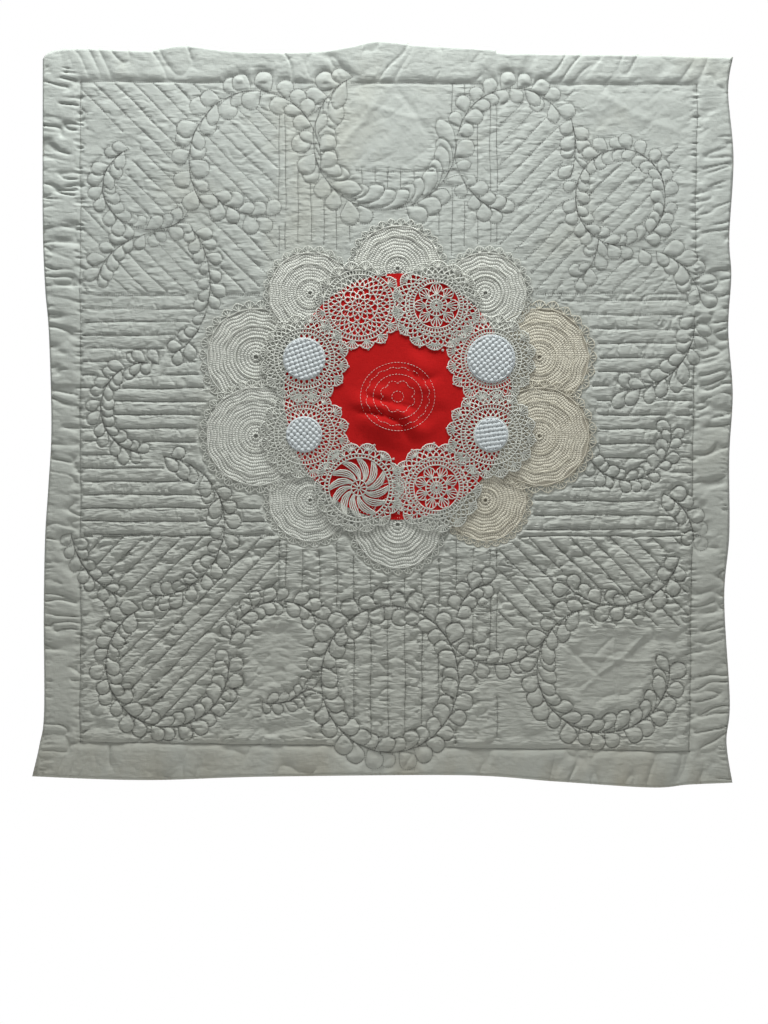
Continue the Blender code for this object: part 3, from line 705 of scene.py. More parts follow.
class Threads:
    """Many thin tubes in one mesh."""

    def __init__(self):
        self.points, self.faces, self.count = [], [], 0

    def add(self, points, faces):
        self.points.append(points)
        self.faces.append(np.asarray(faces) + self.count)
        self.count += len(points)

    def tube(self, line, across, closed=False, sides=3, open_back=False):
        """A thread along a line of x, y, z places, with one edge of it towards the viewer."""
        line = np.asarray(line, float)
        n = len(line)
        if closed:
            ahead = np.roll(line, -1, axis=0) - np.roll(line, 1, axis=0)
        else:
            ahead = np.gradient(line, axis=0)
        ahead /= np.maximum(np.linalg.norm(ahead, axis=1, keepdims=True), 1e-9)
        out = np.array((0.0, -1.0, 0.0)) - ahead * (ahead @ np.array((0.0, -1.0, 0.0)))[:, None]
        out /= np.maximum(np.linalg.norm(out, axis=1, keepdims=True), 1e-9)
        side = np.cross(ahead, out)
        around = math.pi / 2 + turns(sides)
        radius = np.broadcast_to(np.asarray(across) / 2, (n,))[:, None, None]
        ring = out[:, None] * np.sin(around)[None, :, None] + side[:, None] * np.cos(around)[None, :, None]
        points = (line[:, None] + ring * radius).reshape(-1, 3)
        faces = []
        for i in range(n if closed else n - 1):
            a, b = i * sides, (i + 1) % n * sides
            for k in range(sides):
                m = (k + 1) % sides
                if not (open_back and k == 1):
                    faces.append((a + k, a + m, b + m, b + k))
        self.add(points, faces)

    def mesh(self, name):
        return new_mesh(name, np.concatenate(self.points), np.concatenate(self.faces))


def make_cloth(stitches, tangents, spine_tree):
    """The quilted face in nine pieces that share their edges, and the plain backing with the turned edge."""
    spots = cloth_grid()
    rows, columns = spots.shape[:2]
    flat = spots.reshape(-1, 2)
    nearest, far = nearest_stitch(flat[:, 0], flat[:, 1], stitches, tangents)
    rim_row = np.minimum(np.arange(rows), rows - 1 - np.arange(rows))[:, None]
    rim_column = np.minimum(np.arange(columns), columns - 1 - np.arange(columns))[None, :]
    rim = (np.minimum(rim_row, rim_column) * PITCH).reshape(-1)
    snap = (far < SNAP_SHARE * PITCH) & (rim > 0)
    flat[snap] = nearest[snap]
    far = np.where(snap, 0.0, far)
    x, z = flat[:, 0], flat[:, 1]
    _, feather = search(spine_tree, x, z)
    leaf = leaf_distance(x, z)
    thick = thickness(x, z, far, feather, leaf, rim)
    points = np.stack([x, -thick, z], axis=1).reshape(rows, columns, 3)
    across, down = np.gradient(points, axis=1), np.gradient(points, axis=0)
    normals = np.cross(down, across)
    normals /= np.linalg.norm(normals, axis=2, keepdims=True)
    if normals[rows // 2, columns // 2, 1] > 0:
        normals = -normals
    folds = fine_folds(x, z, far, leaf).reshape(rows, columns)
    hidden = (inside_collage(x, z) > HIDDEN_DEPTH).reshape(rows, columns)
    cuts_x = [0] + [int(np.abs(points[rows // 2, :, 0] - s).argmin()) for s in SEAMS_X] + [columns - 1]
    cuts_z = [0] + [int(np.abs(points[:, columns // 2, 2] - s).argmin()) for s in SEAMS_Z] + [rows - 1]
    blocks = []
    for j in range(3):
        for i in range(3):
            part = (slice(cuts_z[j], cuts_z[j + 1] + 1), slice(cuts_x[i], cuts_x[i + 1] + 1))
            show = ~(hidden[part][:-1, :-1] & hidden[part][1:, 1:])
            used, faces = np.unique(grid_faces(*hidden[part].shape)[show], return_inverse=True)
            mesh = new_mesh("cloth", points[part].reshape(-1, 3)[used], faces.reshape(-1, 4))
            mesh.normals_split_custom_set_from_vertices(normals[part].reshape(-1, 3)[used].tolist())
            values = folds[part].reshape(-1)[used].astype(np.float32)
            mesh.attributes.new("fold", "FLOAT", "POINT").data.foreach_set("value", values)
            blocks.append(link(f"cloth_{'top middle low'.split()[j]}_{i + 1}", mesh, CLOTH, "quilt_cloth"))
    edge = np.concatenate([points[0, :-1], points[:-1, -1], points[-1, :0:-1], points[:0:-1, 0]])
    return blocks, make_backing(edge)


def make_backing(edge):
    """The plain back, close to the wall, with the turned edge that joins it to the face."""
    count = len(edge)
    inner = [(-0.70 + 0.025 * i, -0.025 * k) for i in range(57) for k in range(62)]
    outline = [Vector((p[0], p[2])) for p in edge]
    tree = tree_of([(p[0], p[2]) for p in edge])
    inner = [p for p in inner if tree.find((*p, 0.0))[2] > 0.012 and inside_outline(edge, p)]
    spots = outline + [Vector(p) for p in inner]
    made, _, faces, _, _, _ = delaunay_2d_cdt(spots, [], [list(range(count))], 1, 1e-7, False)
    made = made[: len(spots)]
    x, z = np.array([p.x for p in made]), np.array([p.y for p in made])
    back = soft_wave(x, z) + 0.0004 * (1 + noise(x / 0.05, z / 0.05, 41)) * 0.5
    back[:count] = np.maximum(-edge[:, 1] - EDGE_THICK * 0.9, 0.0)
    points = [(a, -b, c) for a, b, c in zip(x, back, z)] + [tuple(p) for p in edge]
    kept = [f for f in faces if inside_outline(edge, np.mean([(x[k], z[k]) for k in f], axis=0))]
    sheet = [tuple(f[::-1]) for f in kept]
    first = len(made)
    for k in range(count):
        after = (k + 1) % count
        sheet.append((k, after, first + after))
        sheet.append((k, first + after, first + k))
    return link("backing", new_mesh("backing", points, sheet), BACKING, "quilt_cloth")


def inside_outline(edge, spot):
    x, z = edge[:, 0], edge[:, 2]
    after_x, after_z = np.roll(x, -1), np.roll(z, -1)
    crosses = (z > spot[1]) != (after_z > spot[1])
    with np.errstate(divide="ignore", invalid="ignore"):
        at = x + (after_x - x) * (spot[1] - z) / (after_z - z)
    return np.count_nonzero(crosses & (spot[0] < at)) % 2 == 1


def make_stitches(lines, spine_tree):
    """One small thread grain for each stitch, in the valley that it makes, coloured near black as painted
    shade of the stitch's dimple.
    """
    spots, ways = respace_all(lines, STITCH_PITCH)
    x, z = spots[:, 0], spots[:, 1]
    _, feather = search(spine_tree, x, z)
    zero = np.zeros_like(x)
    thick = thickness(x, z, zero, feather, zero, zero + 1)
    middle = np.stack([x, -thick - STITCH_LIFT, z], axis=1)
    along = np.stack([ways[:, 0], zero, ways[:, 1]], axis=1) * STITCH_HALF
    side = np.stack([-ways[:, 1], zero, ways[:, 0]], axis=1) * STITCH_RADIUS
    out = np.array((0.0, -STITCH_RADIUS, 0.0))
    corners = [middle - along, middle + along, middle + out]
    corners += [middle + 0.87 * side - 0.5 * out, middle - 0.87 * side - 0.5 * out]
    points = np.stack(corners, axis=1).reshape(-1, 3)
    grain = np.array(((0, 2, 3), (0, 3, 4), (0, 4, 2), (1, 3, 2), (1, 4, 3), (1, 2, 4)))
    faces = (grain[None] + 5 * np.arange(len(spots))[:, None, None]).reshape(-1, 3)
    return link("stitches", new_mesh("stitches", points, faces), STITCH_DIMPLE_SHADE, "quilt_cloth")


def make_edge_thread():
    """Overcast stitches round the sides and bottom, and the line of stitching along the top edge."""
    threads = Threads()
    for rows in (RIGHT_EDGE, BOTTOM_EDGE, LEFT_EDGE):
        places, ways = respace(smooth_line(rows, LINE_STEP), EDGE_STITCH_PITCH)
        for k, (p, w) in enumerate(zip(places[1:-1], ways[1:-1])):
            inward = np.array((w[1], -w[0]))
            lean = (0.35 + 0.5 * uneven(k)) * w
            base = float(soft_wave(p[0], p[1]))
            line = []
            for reach, high in EDGE_STITCH:
                spot = p + inward * reach + lean * (reach - 0.002)
                line.append((spot[0], -base - high, spot[1]))
            threads.tube(line, EDGE_STITCH_ACROSS)
    places, _ = respace(smooth_line(TOP_EDGE, LINE_STEP), LINE_STEP)
    lift = 0.0034 + soft_wave(places[:, 0], places[:, 1])
    threads.tube(np.stack([places[:, 0], -lift, places[:, 1] - 0.0008], axis=1), TOP_STITCH_ACROSS)
    return link("edge_thread", threads.mesh("edge_thread"), THREAD_TAN, "quilt_cloth")


def red_lift(x, z):
    """The red cloth's face above its flat place: slanting folds in the open middle."""
    dx, dz = x - CENTRE[0], z - CENTRE[1]
    far = np.hypot(dx, dz)
    fold = np.abs(np.sin(52 * (0.42 * dx + 0.95 * dz) + 1.5 * noise(dx / 0.05, dz / 0.05, 51))) ** 0.8
    fold = fold * ease(noise(dx / 0.06 + 5, dz / 0.04, 52), -0.9, 0.4)
    small = 0.0005 * (1 + noise(dx / 0.012, dz / 0.009, 53))
    fold = fold * (0.75 + 0.55 * ease(-dz, -0.02, 0.06))
    return (RED_FOLD * fold + small) * (1 - ease(far, 0.060, 0.118))


def round_sheet(name, points, rings, count):
    """A sheet of rings of points from the middle out, the last point in the middle."""
    faces = [(rings * count, (k + 1) % count, k) for k in range(count)]
    for i in range(rings - 1):
        for k in range(count):
            m = (k + 1) % count
            faces.append((i * count + k, i * count + m, (i + 1) * count + m, (i + 1) * count + k))
    return new_mesh(name, points, faces)


def make_red_cloth():
    rings, count = 34, 112
    share = (np.arange(rings) + 1) / rings
    turn = turns(count)
    x = CENTRE[0] + RED_HALF[0] * share[:, None] * np.cos(turn)[None]
    z = CENTRE[1] + RED_HALF[1] * share[:, None] * np.sin(turn)[None]
    x, z = np.append(x.reshape(-1), CENTRE[0]), np.append(z.reshape(-1), CENTRE[1])
    points = np.stack([x, -RED_FACE - red_lift(x, z), z], axis=1)
    piece = link("red_round", round_sheet("red_cloth", points, rings, count), RED, "red_cloth")
    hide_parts("red_cloth")


def make_running_stitches():
    """Plain rings of white running stitches on the red cloth's open middle."""
    threads = Threads()
    for radius, petals in RUNNING_RINGS:
        turn = np.linspace(0, 2 * math.pi, 400)
        swell = 0.22 if petals == 8 else 0.06
        reach = radius * (1 + swell * np.abs(np.sin(turn * petals / 2)) * (petals > 0))
        loop = np.stack([CENTRE[0] + reach * np.cos(turn), CENTRE[1] + 0.92 * reach * np.sin(turn)], axis=1)
        places, ways = respace(loop, RUNNING_PITCH)
        for p, w in zip(places[:-1], ways[:-1]):
            line = []
            for slide in (-RUNNING_HALF, 0.0, RUNNING_HALF):
                spot = p + w * slide
                high = RED_FACE + float(red_lift(spot[0], spot[1]))
                line.append((spot[0], -high - (0.0005 if slide == 0 else -0.0001), spot[1]))
            threads.tube(line, RUNNING_ACROSS)
    link("running_stitches", threads.mesh("running_stitches"), LACE_WHITE, "white_lace")


def lace_level(row, x, z):
    """How far from the wall the middle of a round's thread lies."""
    if row["layer"] < 2:
        swell = 0.0007 * noise(x / 0.030, z / 0.030, 63)
        return layer_back(row["layer"]) + OUTER_LIFT + LACE_THICK * 0.7 + swell
    return RED_FACE + INNER_LIFT + red_lift(x, z) + INNER_STEP * (row["layer"] - 2)


class Lace:
    """Crochet rows of one round, drawn flat about its middle and laid on what is below it."""

    def __init__(self, row):
        self.row, self.threads, self.radius = row, Threads(), row["radius"]
        self.start = math.radians(row["turn"])

    def lay(self, reach, turn, across, lift=0.0, closed=False):
        """A thread through places given by their share of the radius and their turn."""
        reach, turn = np.asarray(reach, float), np.asarray(turn, float) + self.start
        place = self.row["place"]
        wobble = 1 + 0.006 * np.sin(5 * turn + 40 * reach) + 0.004 * np.sin(11 * turn)
        x = place.x + self.radius * reach * wobble * np.cos(turn)
        z = place.y + self.radius * reach * wobble * np.sin(turn)
        y = lace_level(self.row, x, z) + lift
        across = across * (INNER_THREAD_SCALE if self.row["layer"] > 1 else 1.0)
        self.threads.tube(np.stack([x, -y, z], axis=1), across, closed, open_back=True)

    def ring(self, reach, lift=0.0):
        count = max(18, round(110 * reach))
        self.lay(np.full(count, reach), turns(count), THICK_THREAD, lift, True)

    def posts(self, inner, outer, count, across=THICK_THREAD):
        for turn in turns(count):
            self.lay((inner, outer), (turn, turn), across)

    def arches(self, inner, outer, count, shift=0.0, fine=6):
        """Loops that stand on a ring, one next to the other."""
        step = 2 * math.pi / count
        share = np.linspace(0, 1, fine)
        reach = inner + (outer - inner) * np.sin(math.pi * share) ** 0.7
        for k in range(count):
            self.lay(reach, step * (k + shift + share), THICK_THREAD)

    def shells(self, inner, outer, count, posts, across=THICK_THREAD, shift=0.0):
        """Fans of posts from one place, under a scalloped rim."""
        step = 2 * math.pi / count
        for k in range(count):
            middle = step * (k + 0.5 + shift)
            for i in range(posts):
                away = i / (posts - 1) - 0.5
                tip = outer - (outer - inner) * 0.55 * abs(away) ** 1.6 * 2
                self.lay((inner, tip), (middle + 0.12 * step * away, middle + 0.86 * step * away), across)
        share = np.linspace(0, 1, 7)
        reach = outer - (outer - inner) * 0.62 * np.abs(2 * share - 1) ** 2.2
        for k in range(count):
            self.lay(reach, step * (k + shift + share), across)

    def picots(self, reach, size, count, shift=0.0):
        for k in range(count):
            turn = 2 * math.pi * (k + 0.5 + shift) / count
            around = turns(5)
            self.lay(reach + size * np.sin(around), turn + size * np.cos(around) / reach, THREAD, 0.0, True)

    def net(self, inner, outer, rows, count):
        """Rows of loops, each half a step on from the last."""
        high = (outer - inner) / rows
        for k in range(rows):
            low = inner + k * high
            self.arches(low, low + 1.25 * high, count, 0.5 * (k % 2), 5)


def rim_round(lace):
    lace.ring(0.035)
    lace.posts(0.04, 0.15, 12)
    lace.ring(0.16, 0.0004)
    lace.shells(0.17, 0.29, 12, 3, THREAD)
    lace.ring(0.30)
    lace.posts(0.30, 0.37, 38)
    lace.ring(0.38, 0.0005)
    lace.arches(0.39, 0.48, 26)
    lace.arches(0.46, 0.56, 26, 0.5)
    lace.ring(0.57)
    lace.posts(0.57, 0.65, 62)
    lace.ring(0.66, 0.0004)
    lace.net(0.67, 0.81, 2, 38)
    lace.shells(0.79, 0.96, 16, 6)
    lace.picots(0.975, 0.018, 16)


def web_round(lace):
    lace.ring(0.04)
    lace.posts(0.05, 0.22, 16)
    for reach in (0.13, 0.23, 0.50, 0.68):
        lace.ring(reach)
    lace.shells(0.23, 0.48, 8, 5, THREAD)
    lace.posts(0.50, 0.58, 56)
    lace.ring(0.59)
    lace.arches(0.59, 0.67, 34)
    lace.net(0.69, 0.84, 2, 34)
    lace.shells(0.82, 0.97, 14, 7)
    lace.picots(0.98, 0.018, 12)


def net_round(lace):
    lace.ring(0.04)
    lace.posts(0.05, 0.14, 8, THREAD)
    lace.ring(0.15)
    lace.net(0.15, 0.40, 3, 10)
    lace.ring(0.41)
    lace.net(0.42, 0.66, 3, 26)
    lace.ring(0.67, 0.0004)
    lace.posts(0.67, 0.76, 66)
    lace.ring(0.77)
    lace.shells(0.78, 0.96, 16, 6)
    lace.picots(0.975, 0.016, 16)


def star_round(lace):
    lace.ring(0.04)
    lace.posts(0.05, 0.16, 10)
    lace.ring(0.17)
    share = np.linspace(0, 1, 7)
    for turn in turns(12):
        for away, lift in ((-0.12, 0.0), (-0.04, 0.0003), (0.04, 0.0003), (0.12, 0.0)):
            sweep = 0.62 * share**1.2 + away * (0.5 + np.sin(math.pi * share))
            lace.lay(0.17 + 0.47 * share, turn + sweep, THICK_THREAD, lift)
    lace.ring(0.66)
    lace.posts(0.66, 0.73, 60)
    lace.ring(0.74)
    lace.net(0.74, 0.84, 1, 34)
    lace.shells(0.82, 0.97, 14, 7)
    lace.picots(0.98, 0.018, 12)


def dense_round(lace):
    """The open rim and the raised rings of a close round."""
    number = lace.row["number"]
    many = 24 + 3 * (number % 3)
    lace.ring(0.05, 0.0008)
    lace.ring((0.30, 0.36, 0.26)[number % 3], 0.0012)
    lace.ring((0.62, 0.56, 0.66)[number % 3], 0.0012)
    lace.ring(0.845, 0.0006)
    lace.shells(0.85, 0.985, many, 4, shift=0.5)
    lace.picots(0.985, 0.012, many, 0.5)


def make_rows(row):
    """Close crochet: rings of small raised stitches on a round's ground, in gentle scallops."""
    number = row["number"]
    pitch = ROW_PITCHES[number % 3]
    lean = (0.0, 0.35, 0.5)[number % 3]
    points = []
    corner = turns(6)
    for k in range(1, int(0.84 * row["radius"] / pitch) + 1):
        count = max(6, round(2 * math.pi * k * pitch / ROW_STITCH_PITCH))
        turn = 2 * math.pi * (np.arange(count) + lean * k) / count + math.radians(row["turn"])
        luck = noise(turn * 9, np.full(count, 3.1 * k), 61)
        reach = k * pitch * (1 + 0.030 * np.cos(11 * turn) * ease(k * pitch / row["radius"], 0.3, 0.7))
        reach = reach + 0.0007 * noise(turn * 6, np.full(count, 1.3 * k), 62)
        along = reach[:, None] + (ROW_STITCH_HALF[0] + 0.0008 * luck)[:, None] * np.cos(corner)
        aside = (ROW_STITCH_HALF[1] + 0.0005 * luck)[:, None] * np.sin(corner)
        x = row["place"].x + along * np.cos(turn)[:, None] - aside * np.sin(turn)[:, None]
        z = row["place"].y + along * np.sin(turn)[:, None] + aside * np.cos(turn)[:, None]
        base = np.stack([x, 0.0006 - lace_level(row, x, z), z], axis=2)
        top = base.mean(axis=1, keepdims=True)
        top[:, 0, 1] -= ROW_STITCH_HIGH + 0.0004 * luck
        points.append(np.concatenate([base, top], axis=1).reshape(-1, 3))
    points = np.concatenate(points)
    dome = np.array([(k, (k + 1) % 6, 6) for k in range(6)])
    faces = (dome[None] + 7 * np.arange(len(points) // 7)[:, None, None]).reshape(-1, 3)
    return link_lace(row, "rows", new_mesh(row["name"], points, faces))


def make_ground(row):
    """The close ground of an outer round: a thin sheet with rows of stitches in low relief, coloured much
    darker than the threads as painted shade in the gaps between the stitches.
    """
    rings, count = 22, 132
    place, start = row["place"], math.radians(row["turn"])
    share = (np.arange(rings) + 0.6) / (rings - 0.4) * GROUND_SHARE
    turn = turns(count)
    reach = share[:, None] * (1 + 0.018 * np.cos(22 * turn)[None] * ease(share, 0.7, 0.9)[:, None])
    x = place.x + row["radius"] * reach * np.cos(turn + start)[None]
    z = place.y + row["radius"] * reach * np.sin(turn + start)[None]
    relief = 0.00045 * np.sin(2 * math.pi * share * 11)[:, None] * np.cos(33 * turn)[None]
    level = lace_level(row, x, z) - 0.0007 + relief
    level = level - 0.0006 * ease(share, 0.80, 0.90)[:, None]
    points = np.stack([x, -level, z], axis=2).reshape(-1, 3)
    points = np.concatenate([points, [(place.x, points[0, 1], place.y)]])
    return link_lace(row, "ground", round_sheet(row["name"], points, rings, count))


def link_lace(row, part, mesh):
    """Puts in one of a doily's pieces, in the colour of its cotton; the ground takes a darker colour that is
    painted shade in the gaps between stitches.
    """
    white, cream = (GROUND_SHADE_WHITE, GROUND_SHADE_CREAM) if part == "ground" else (LACE_WHITE, LACE_CREAM)
    material, slot = (cream, "cream_lace") if row["cream"] else (white, "white_lace")
    return link(f"{row['name']}_{part}", mesh, material, slot)


DRAWINGS = {"rim": rim_round, "web": web_round, "net": net_round, "star": star_round, "dense": dense_round}


def make_doily(row):
    lace = Lace(row)
    DRAWINGS[row["kind"]](lace)
    piece = link_lace(row, "lace", lace.threads.mesh(row["name"]))
    if row["kind"] != "dense":
        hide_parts(row["name"])
        return
    ground, stitches = make_ground(row), make_rows(row)
    for part in (ground, piece, stitches):
        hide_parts(row["name"])


def make_woven_round(number, row, radius, degrees):
    """Basket weave: flat straps that go over and under each other, on a disc inside a corded rim."""
    place, pitch = row["place"], WOVEN_PITCH
    low = RED_FACE + WOVEN_LIFT + INNER_STEP * (row["layer"] - 2)
    cos, sin = direction(degrees)
    threads = Threads()
    many = round(radius / pitch)
    for upright in (False, True):
        for k in range(-many, many + 1):
            off = k * pitch
            if abs(off) > radius - 0.25 * pitch:
                continue  # no room for a strap
            half = math.sqrt(radius**2 - off**2)
            s = np.linspace(-half, half, max(5, round(2 * half / (pitch / 6))))
            swing = np.cos(math.pi * s / pitch) * (1 if (k + upright) % 2 else -1)
            crown = 1 - 0.35 * (s**2 + off**2) / radius**2
            edges = []
            for share, drop in STRAP:
                t = off + share * pitch * (0.90 + 0.10 * swing) + 0.0004 * np.sin(s * 170 + 2 * k)
                y = low + 0.0018 * crown + WOVEN_SWING * swing - drop
                a, b = (t, s) if upright else (s, t)
                edges.append(np.stack([place.x + a * cos - b * sin, -y, place.y + a * sin + b * cos], axis=1))
            points = np.stack(edges, axis=1)
            threads.add(points.reshape(-1, 3), grid_faces(len(s), len(STRAP)).reshape(-1, 4))
    turn = turns(72)
    for reach, high in ((1.0, 0.0006), (1.05, -0.0006)):
        cord = radius * reach * (1 + 0.012 * np.sin(36 * turn))
        x, z = place.x + cord * np.cos(turn), place.y + cord * np.sin(turn)
        threads.tube(np.stack([x, np.full(72, -low - high), z], axis=1), CORD, True, 4)
    straps = link(f"woven_{number}_straps", threads.mesh("woven"), WOVEN_WHITE, "woven_tape")
    rings = np.linspace(0.1, 1.0, 8)
    x = np.append(place.x + radius * rings[:, None] * np.cos(turn[::2]), place.x)
    z = np.append(place.y + radius * rings[:, None] * np.sin(turn[::2]), place.y)
    points = np.stack([x, np.full(len(x), -low + 0.0006), z], axis=1)
    sheet = round_sheet("woven_ground", points, 8, 36)
    disc = link(f"woven_{number}_ground", sheet, WOVEN_WHITE, "woven_tape")
    for piece in (straps, disc):
        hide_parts(f"woven_round_{number}")


class Finish:
    """A fabric material built from named sockets and a few noise layers."""

    def __init__(self, name, colour, rough, sheen):
        self.material = bpy.data.materials.new(name)
        self.material.use_nodes = True
        self.nodes, self.links = self.material.node_tree.nodes, self.material.node_tree.links
        self.shader = self.nodes["Principled BSDF"]
        self.set(self.shader, {"Roughness": rough, "Specular IOR Level": 0.25})
        self.set(self.shader, {"Sheen Weight": sheen, "Sheen Roughness": 0.6})
        self.place = self.node("TexCoord", {}).outputs["Object"]
        self.colour, self.normal = (*colour, 1), None

    def set(self, node, values):
        """Sets a node's inputs to numbers and colours, or joins them to sockets."""
        for name, value in values.items():
            if isinstance(value, bpy.types.NodeSocket):
                self.links.new(value, node.inputs[name])
            else:
                node.inputs[name].default_value = value

    def node(self, kind, values):
        node = self.nodes.new("ShaderNode" + kind)
        self.set(node, values)
        return node

    def noise(self, scale, stretch=(1, 1, 1), detail=3.0, rough=0.5):
        mapping = self.node("Mapping", {"Scale": stretch, "Vector": self.place})
        values = {"Scale": scale, "Detail": detail, "Roughness": rough, "Vector": mapping.outputs["Vector"]}
        return self.node("TexNoise", values).outputs["Fac"]

    def ramp(self, value, low, high, top=1.0):
        values = {"From Min": low, "From Max": high, "To Max": top, "Value": value}
        return self.node("MapRange", values).outputs["Result"]

    def tint(self, share, colour):
        """Mixes a colour over the last one, by a socket from 0 to 1."""
        mix = self.node("Mix", {})
        mix.data_type = "RGBA"
        # Inputs 0, 6 and 7 are the share and the two colours
        self.set(mix, {0: share, 6: self.colour, 7: (*colour, 1)})
        self.colour = mix.outputs[2]

    def bump(self, height, distance, strength=1.0):
        values = {"Distance": distance, "Strength": strength, "Height": height}
        if self.normal:
            values["Normal"] = self.normal
        self.normal = self.node("Bump", values).outputs["Normal"]

    def work(self, kind, first, second=0.0):
        """What a kind of sum makes of two numbers or sockets."""
        node = self.node("Math", {0: first, 1: second})
        node.operation = kind
        return node.outputs[0]

    def done(self):
        self.set(self.shader, {"Base Color": self.colour})
        if self.normal:
            self.set(self.shader, {"Normal": self.normal})
        return self.material


def cloth_finish(name, colour, quilted):
    """Plain woven cloth with slubs and stains. The quilted face also has fine folds, and is darker and warmer
    towards the bottom, where the darkening is painted shade.
    """
    finish = Finish(name, colour, 0.92, 0.12 if quilted else 0.02)
    finish.tint(finish.ramp(finish.noise(4.5, detail=4), 0.35, 0.70, 0.55), tuple(0.90 * c for c in colour))
    finish.tint(finish.ramp(finish.noise(26, detail=3), 0.50, 0.75, 0.35), tuple(1.08 * c for c in colour))
    stain = finish.ramp(finish.noise(2.2, detail=5, rough=0.6), 0.56, 0.78, 0.55)
    finish.tint(stain, (colour[0] * 0.99, colour[1] * 0.92, colour[2] * 0.80))
    for stretch in ((1, 1, 9), (9, 1, 1)):
        slub = finish.noise(130, stretch, 2.0)
        finish.tint(finish.ramp(slub, 0.55, 0.80, 0.22), tuple(0.86 * c for c in colour))
        finish.bump(slub, 0.00035, 0.8)
    finish.bump(finish.noise(160, detail=3), 0.0006, 0.5)
    if quilted:
        strength = finish.node("Attribute", {})
        strength.attribute_name = "fold"
        for stretch, deep in (((0.34, 1, 1), 0.0120), ((0.5, 1, 1.9), 0.0065)):
            fold = finish.work("SUBTRACT", finish.noise(66, stretch, 1.5), 0.5)
            fold = finish.work("MULTIPLY", finish.work("ABSOLUTE", fold), strength.outputs["Fac"])
            finish.bump(fold, deep)
        foot = finish.node("SeparateXYZ", {"Vector": finish.place})
        depth = finish.work("MULTIPLY", foot.outputs["Z"], -1.0)
        # painted shade: darker, and warmer in tone, towards the bottom, where the overhead light falls off
        finish.tint(finish.ramp(depth, 0.3, 1.3, 0.9), (0.485, 0.497, 0.450))
        marks = finish.ramp(finish.noise(9, (1, 1, 0.5), 4.0, 0.6), 0.40, 0.70)
        marks = finish.work("MULTIPLY", marks, finish.ramp(depth, 1.40, 1.53, 0.75))
        finish.tint(marks, (0.440, 0.405, 0.315))
    return finish.done()


def lace_finish(name, colour, dark):
    """Cotton thread, with painted shade in small dark specks for the gaps between its fibres, by a share."""
    finish = Finish(name, colour, 0.88, 0.25)
    finish.tint(finish.ramp(finish.noise(11, detail=4), 0.42, 0.72, 0.55), tuple(0.88 * c for c in colour))
    # painted shade: fine specks at 0.62 of the colour for the shadowed gaps between fibres
    finish.tint(finish.ramp(finish.noise(420, detail=2), 0.50, 0.80, dark), tuple(0.62 * c for c in colour))
    finish.bump(finish.noise(900, detail=2), 0.0005, 0.7)
    return finish.done()


def make_world():
    """Bright behind the quilt and dim in front of it, with a soft step between the two."""
    world = bpy.data.worlds.new("studio")
    bpy.context.scene.world = world
    world.use_nodes = True
    nodes, links = world.node_tree.nodes, world.node_tree.links
    background = nodes["Background"]
    way = nodes.new("ShaderNodeTexCoord").outputs["Generated"]
    split = nodes.new("ShaderNodeSeparateXYZ")
    links.new(way, split.inputs["Vector"])
    back = nodes.new("ShaderNodeValToRGB")
    back.color_ramp.elements[0].position, back.color_ramp.elements[1].position = 0.30, 0.75
    back.color_ramp.elements[0].color = (0.13, 0.133, 0.136, 1)
    back.color_ramp.elements[1].color = (1, 1, 1, 1)
    links.new(split.outputs["Y"], back.inputs["Fac"])
    links.new(back.outputs["Color"], background.inputs["Color"])
    background.inputs["Strength"].default_value = 1.0


def make_light(name, place, aim, size, power, colour):
    data = bpy.data.lights.new(name, "AREA")
    data.color = colour
    data.shape, data.size, data.size_y, data.energy = "RECTANGLE", size[0], size[1], power
    lamp = bpy.data.objects.new(name, data)
    lamp.location = place
    lamp.rotation_euler = (Vector(aim) - Vector(place)).to_track_quat("-Z", "Y").to_euler()
    bpy.context.scene.collection.objects.link(lamp)


def make_camera():
    data = bpy.data.cameras.new("camera")
    data.sensor_width = SENSOR
    data.lens = SENSOR * -CAMERA_PLACE[1] / VIEW_HIGH
    camera = bpy.data.objects.new("camera", data)
    camera.location = CAMERA_PLACE
    camera.rotation_euler = (math.pi / 2, 0, 0)
    bpy.context.scene.collection.objects.link(camera)
    bpy.context.scene.camera = camera


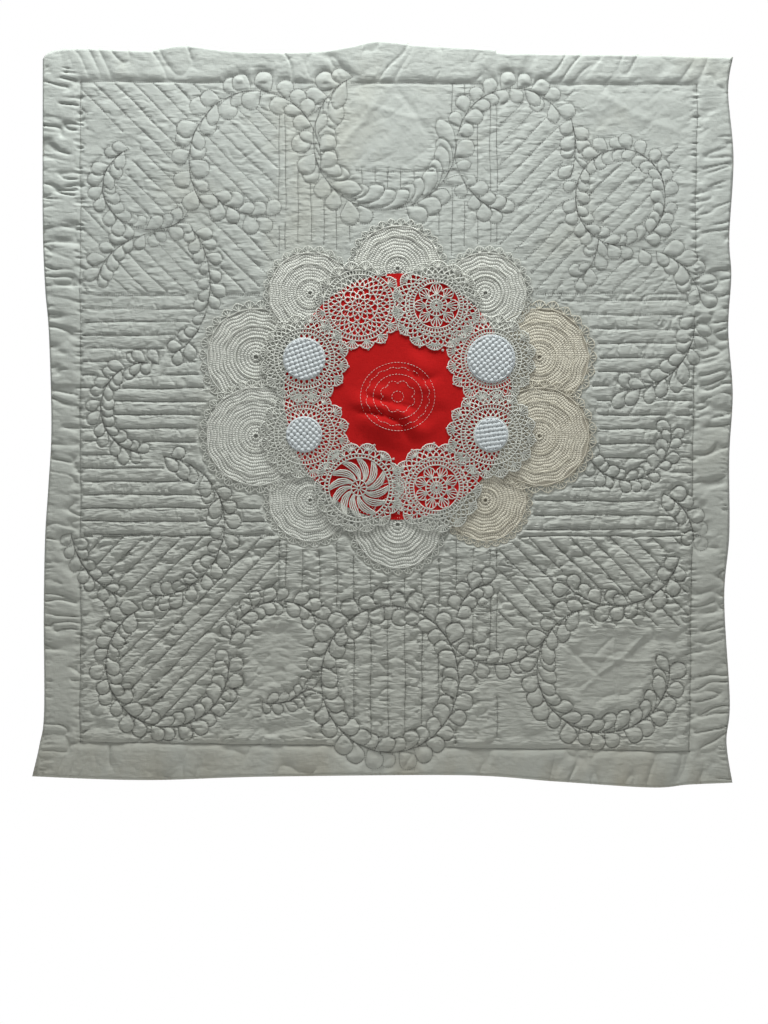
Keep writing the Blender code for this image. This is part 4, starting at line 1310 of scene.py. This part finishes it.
def make_floor():
    """A plain pale floor, below what the front view shows."""
    mesh = bpy.data.meshes.new("floor")
    corners = [(x, y, FLOOR_Z) for x, y in ((-5, -6), (5, -6), (5, 0.5), (-5, 0.5))]
    mesh.from_pydata(corners, [], [(0, 1, 2, 3)])
    floor = bpy.data.objects.new("floor", mesh)
    finish = Finish("floor", (0.78, 0.78, 0.77), 0.8, 0.0)
    finish.tint(finish.ramp(finish.noise(1.5), 0.4, 0.7, 0.3), (0.74, 0.74, 0.73))
    mesh.materials.append(finish.done())
    bpy.context.scene.collection.objects.link(floor)


DOILIES = doily_rows()
CLOTH = cloth_finish("quilt_cloth", QUILT_COLOUR, True)
BACKING = cloth_finish("backing_cloth", QUILT_COLOUR, False)
# painted shade: the quilting thread is nearly black so that each grain reads as the shadow in its needle
# hole; the real thread has the cloth's colour
STITCH_DIMPLE_SHADE = lace_finish("quilting_thread_painted_shade", (0.06, 0.06, 0.05), 0.2)
THREAD_TAN = lace_finish("edge_thread", (0.36, 0.30, 0.22), 0.2)
RED = cloth_finish("red_cloth", (0.55, 0.005, 0.005), False)
LACE_WHITE = lace_finish("white_lace", (0.80, 0.82, 0.76), 0.25)
LACE_CREAM = lace_finish("cream_lace", (0.80, 0.77, 0.65), 0.25)
# painted shade: the grounds are about half as bright as the lace threads, for the shadowed gaps between the
# crochet stitches; their cotton is the threads' colour
GROUND_SHADE_WHITE = lace_finish("white_ground_painted_shade", (0.43, 0.445, 0.405), 0.4)
GROUND_SHADE_CREAM = lace_finish("cream_ground_painted_shade", (0.45, 0.42, 0.34), 0.4)
WOVEN_WHITE = lace_finish("woven_tape", (0.66, 0.71, 0.73), 0.2)

bpy.context.scene.view_settings.view_transform = "Standard"
make_camera()
make_world()
make_floor()
make_light("overhead", (0.0, -0.75, 1.7), (0.0, 0.0, -0.6), (2.4, 0.6), 100, (0.985, 1.0, 0.985))
make_light("front", (0.6, -3.6, 0.9), (0.0, 0.0, -0.8), (3.0, 2.5), 13, (1.0, 0.95, 0.88))

strands = feather_strands()
LEAVES, LEAF_MIDDLES = feather_leaves(strands)
LEAF_TREE = tree_of(LEAF_MIDDLES)
spine_tree = tree_of(np.concatenate([smooth_line(s, LINE_STEP) for s in strands]))
lines = feather_lines(strands, LEAVES) + channel_lines(spine_tree)
stitch_points, stitch_ways = respace_all(lines, SAMPLE_STEP)

blocks, backing = make_cloth(stitch_points, stitch_ways, spine_tree)
stitches = make_stitches(lines, spine_tree)
edge_thread = make_edge_thread()
for piece in blocks + [backing]:
    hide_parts("quilt")

make_red_cloth()
make_running_stitches()
for row in DOILIES:
    make_doily(row)
inner_rows = [row for row in DOILIES if row["layer"] > 1]
for number, (index, radius, degrees) in enumerate(WOVEN_ROUNDS):
    make_woven_round(number + 1, inner_rows[index], radius, degrees)
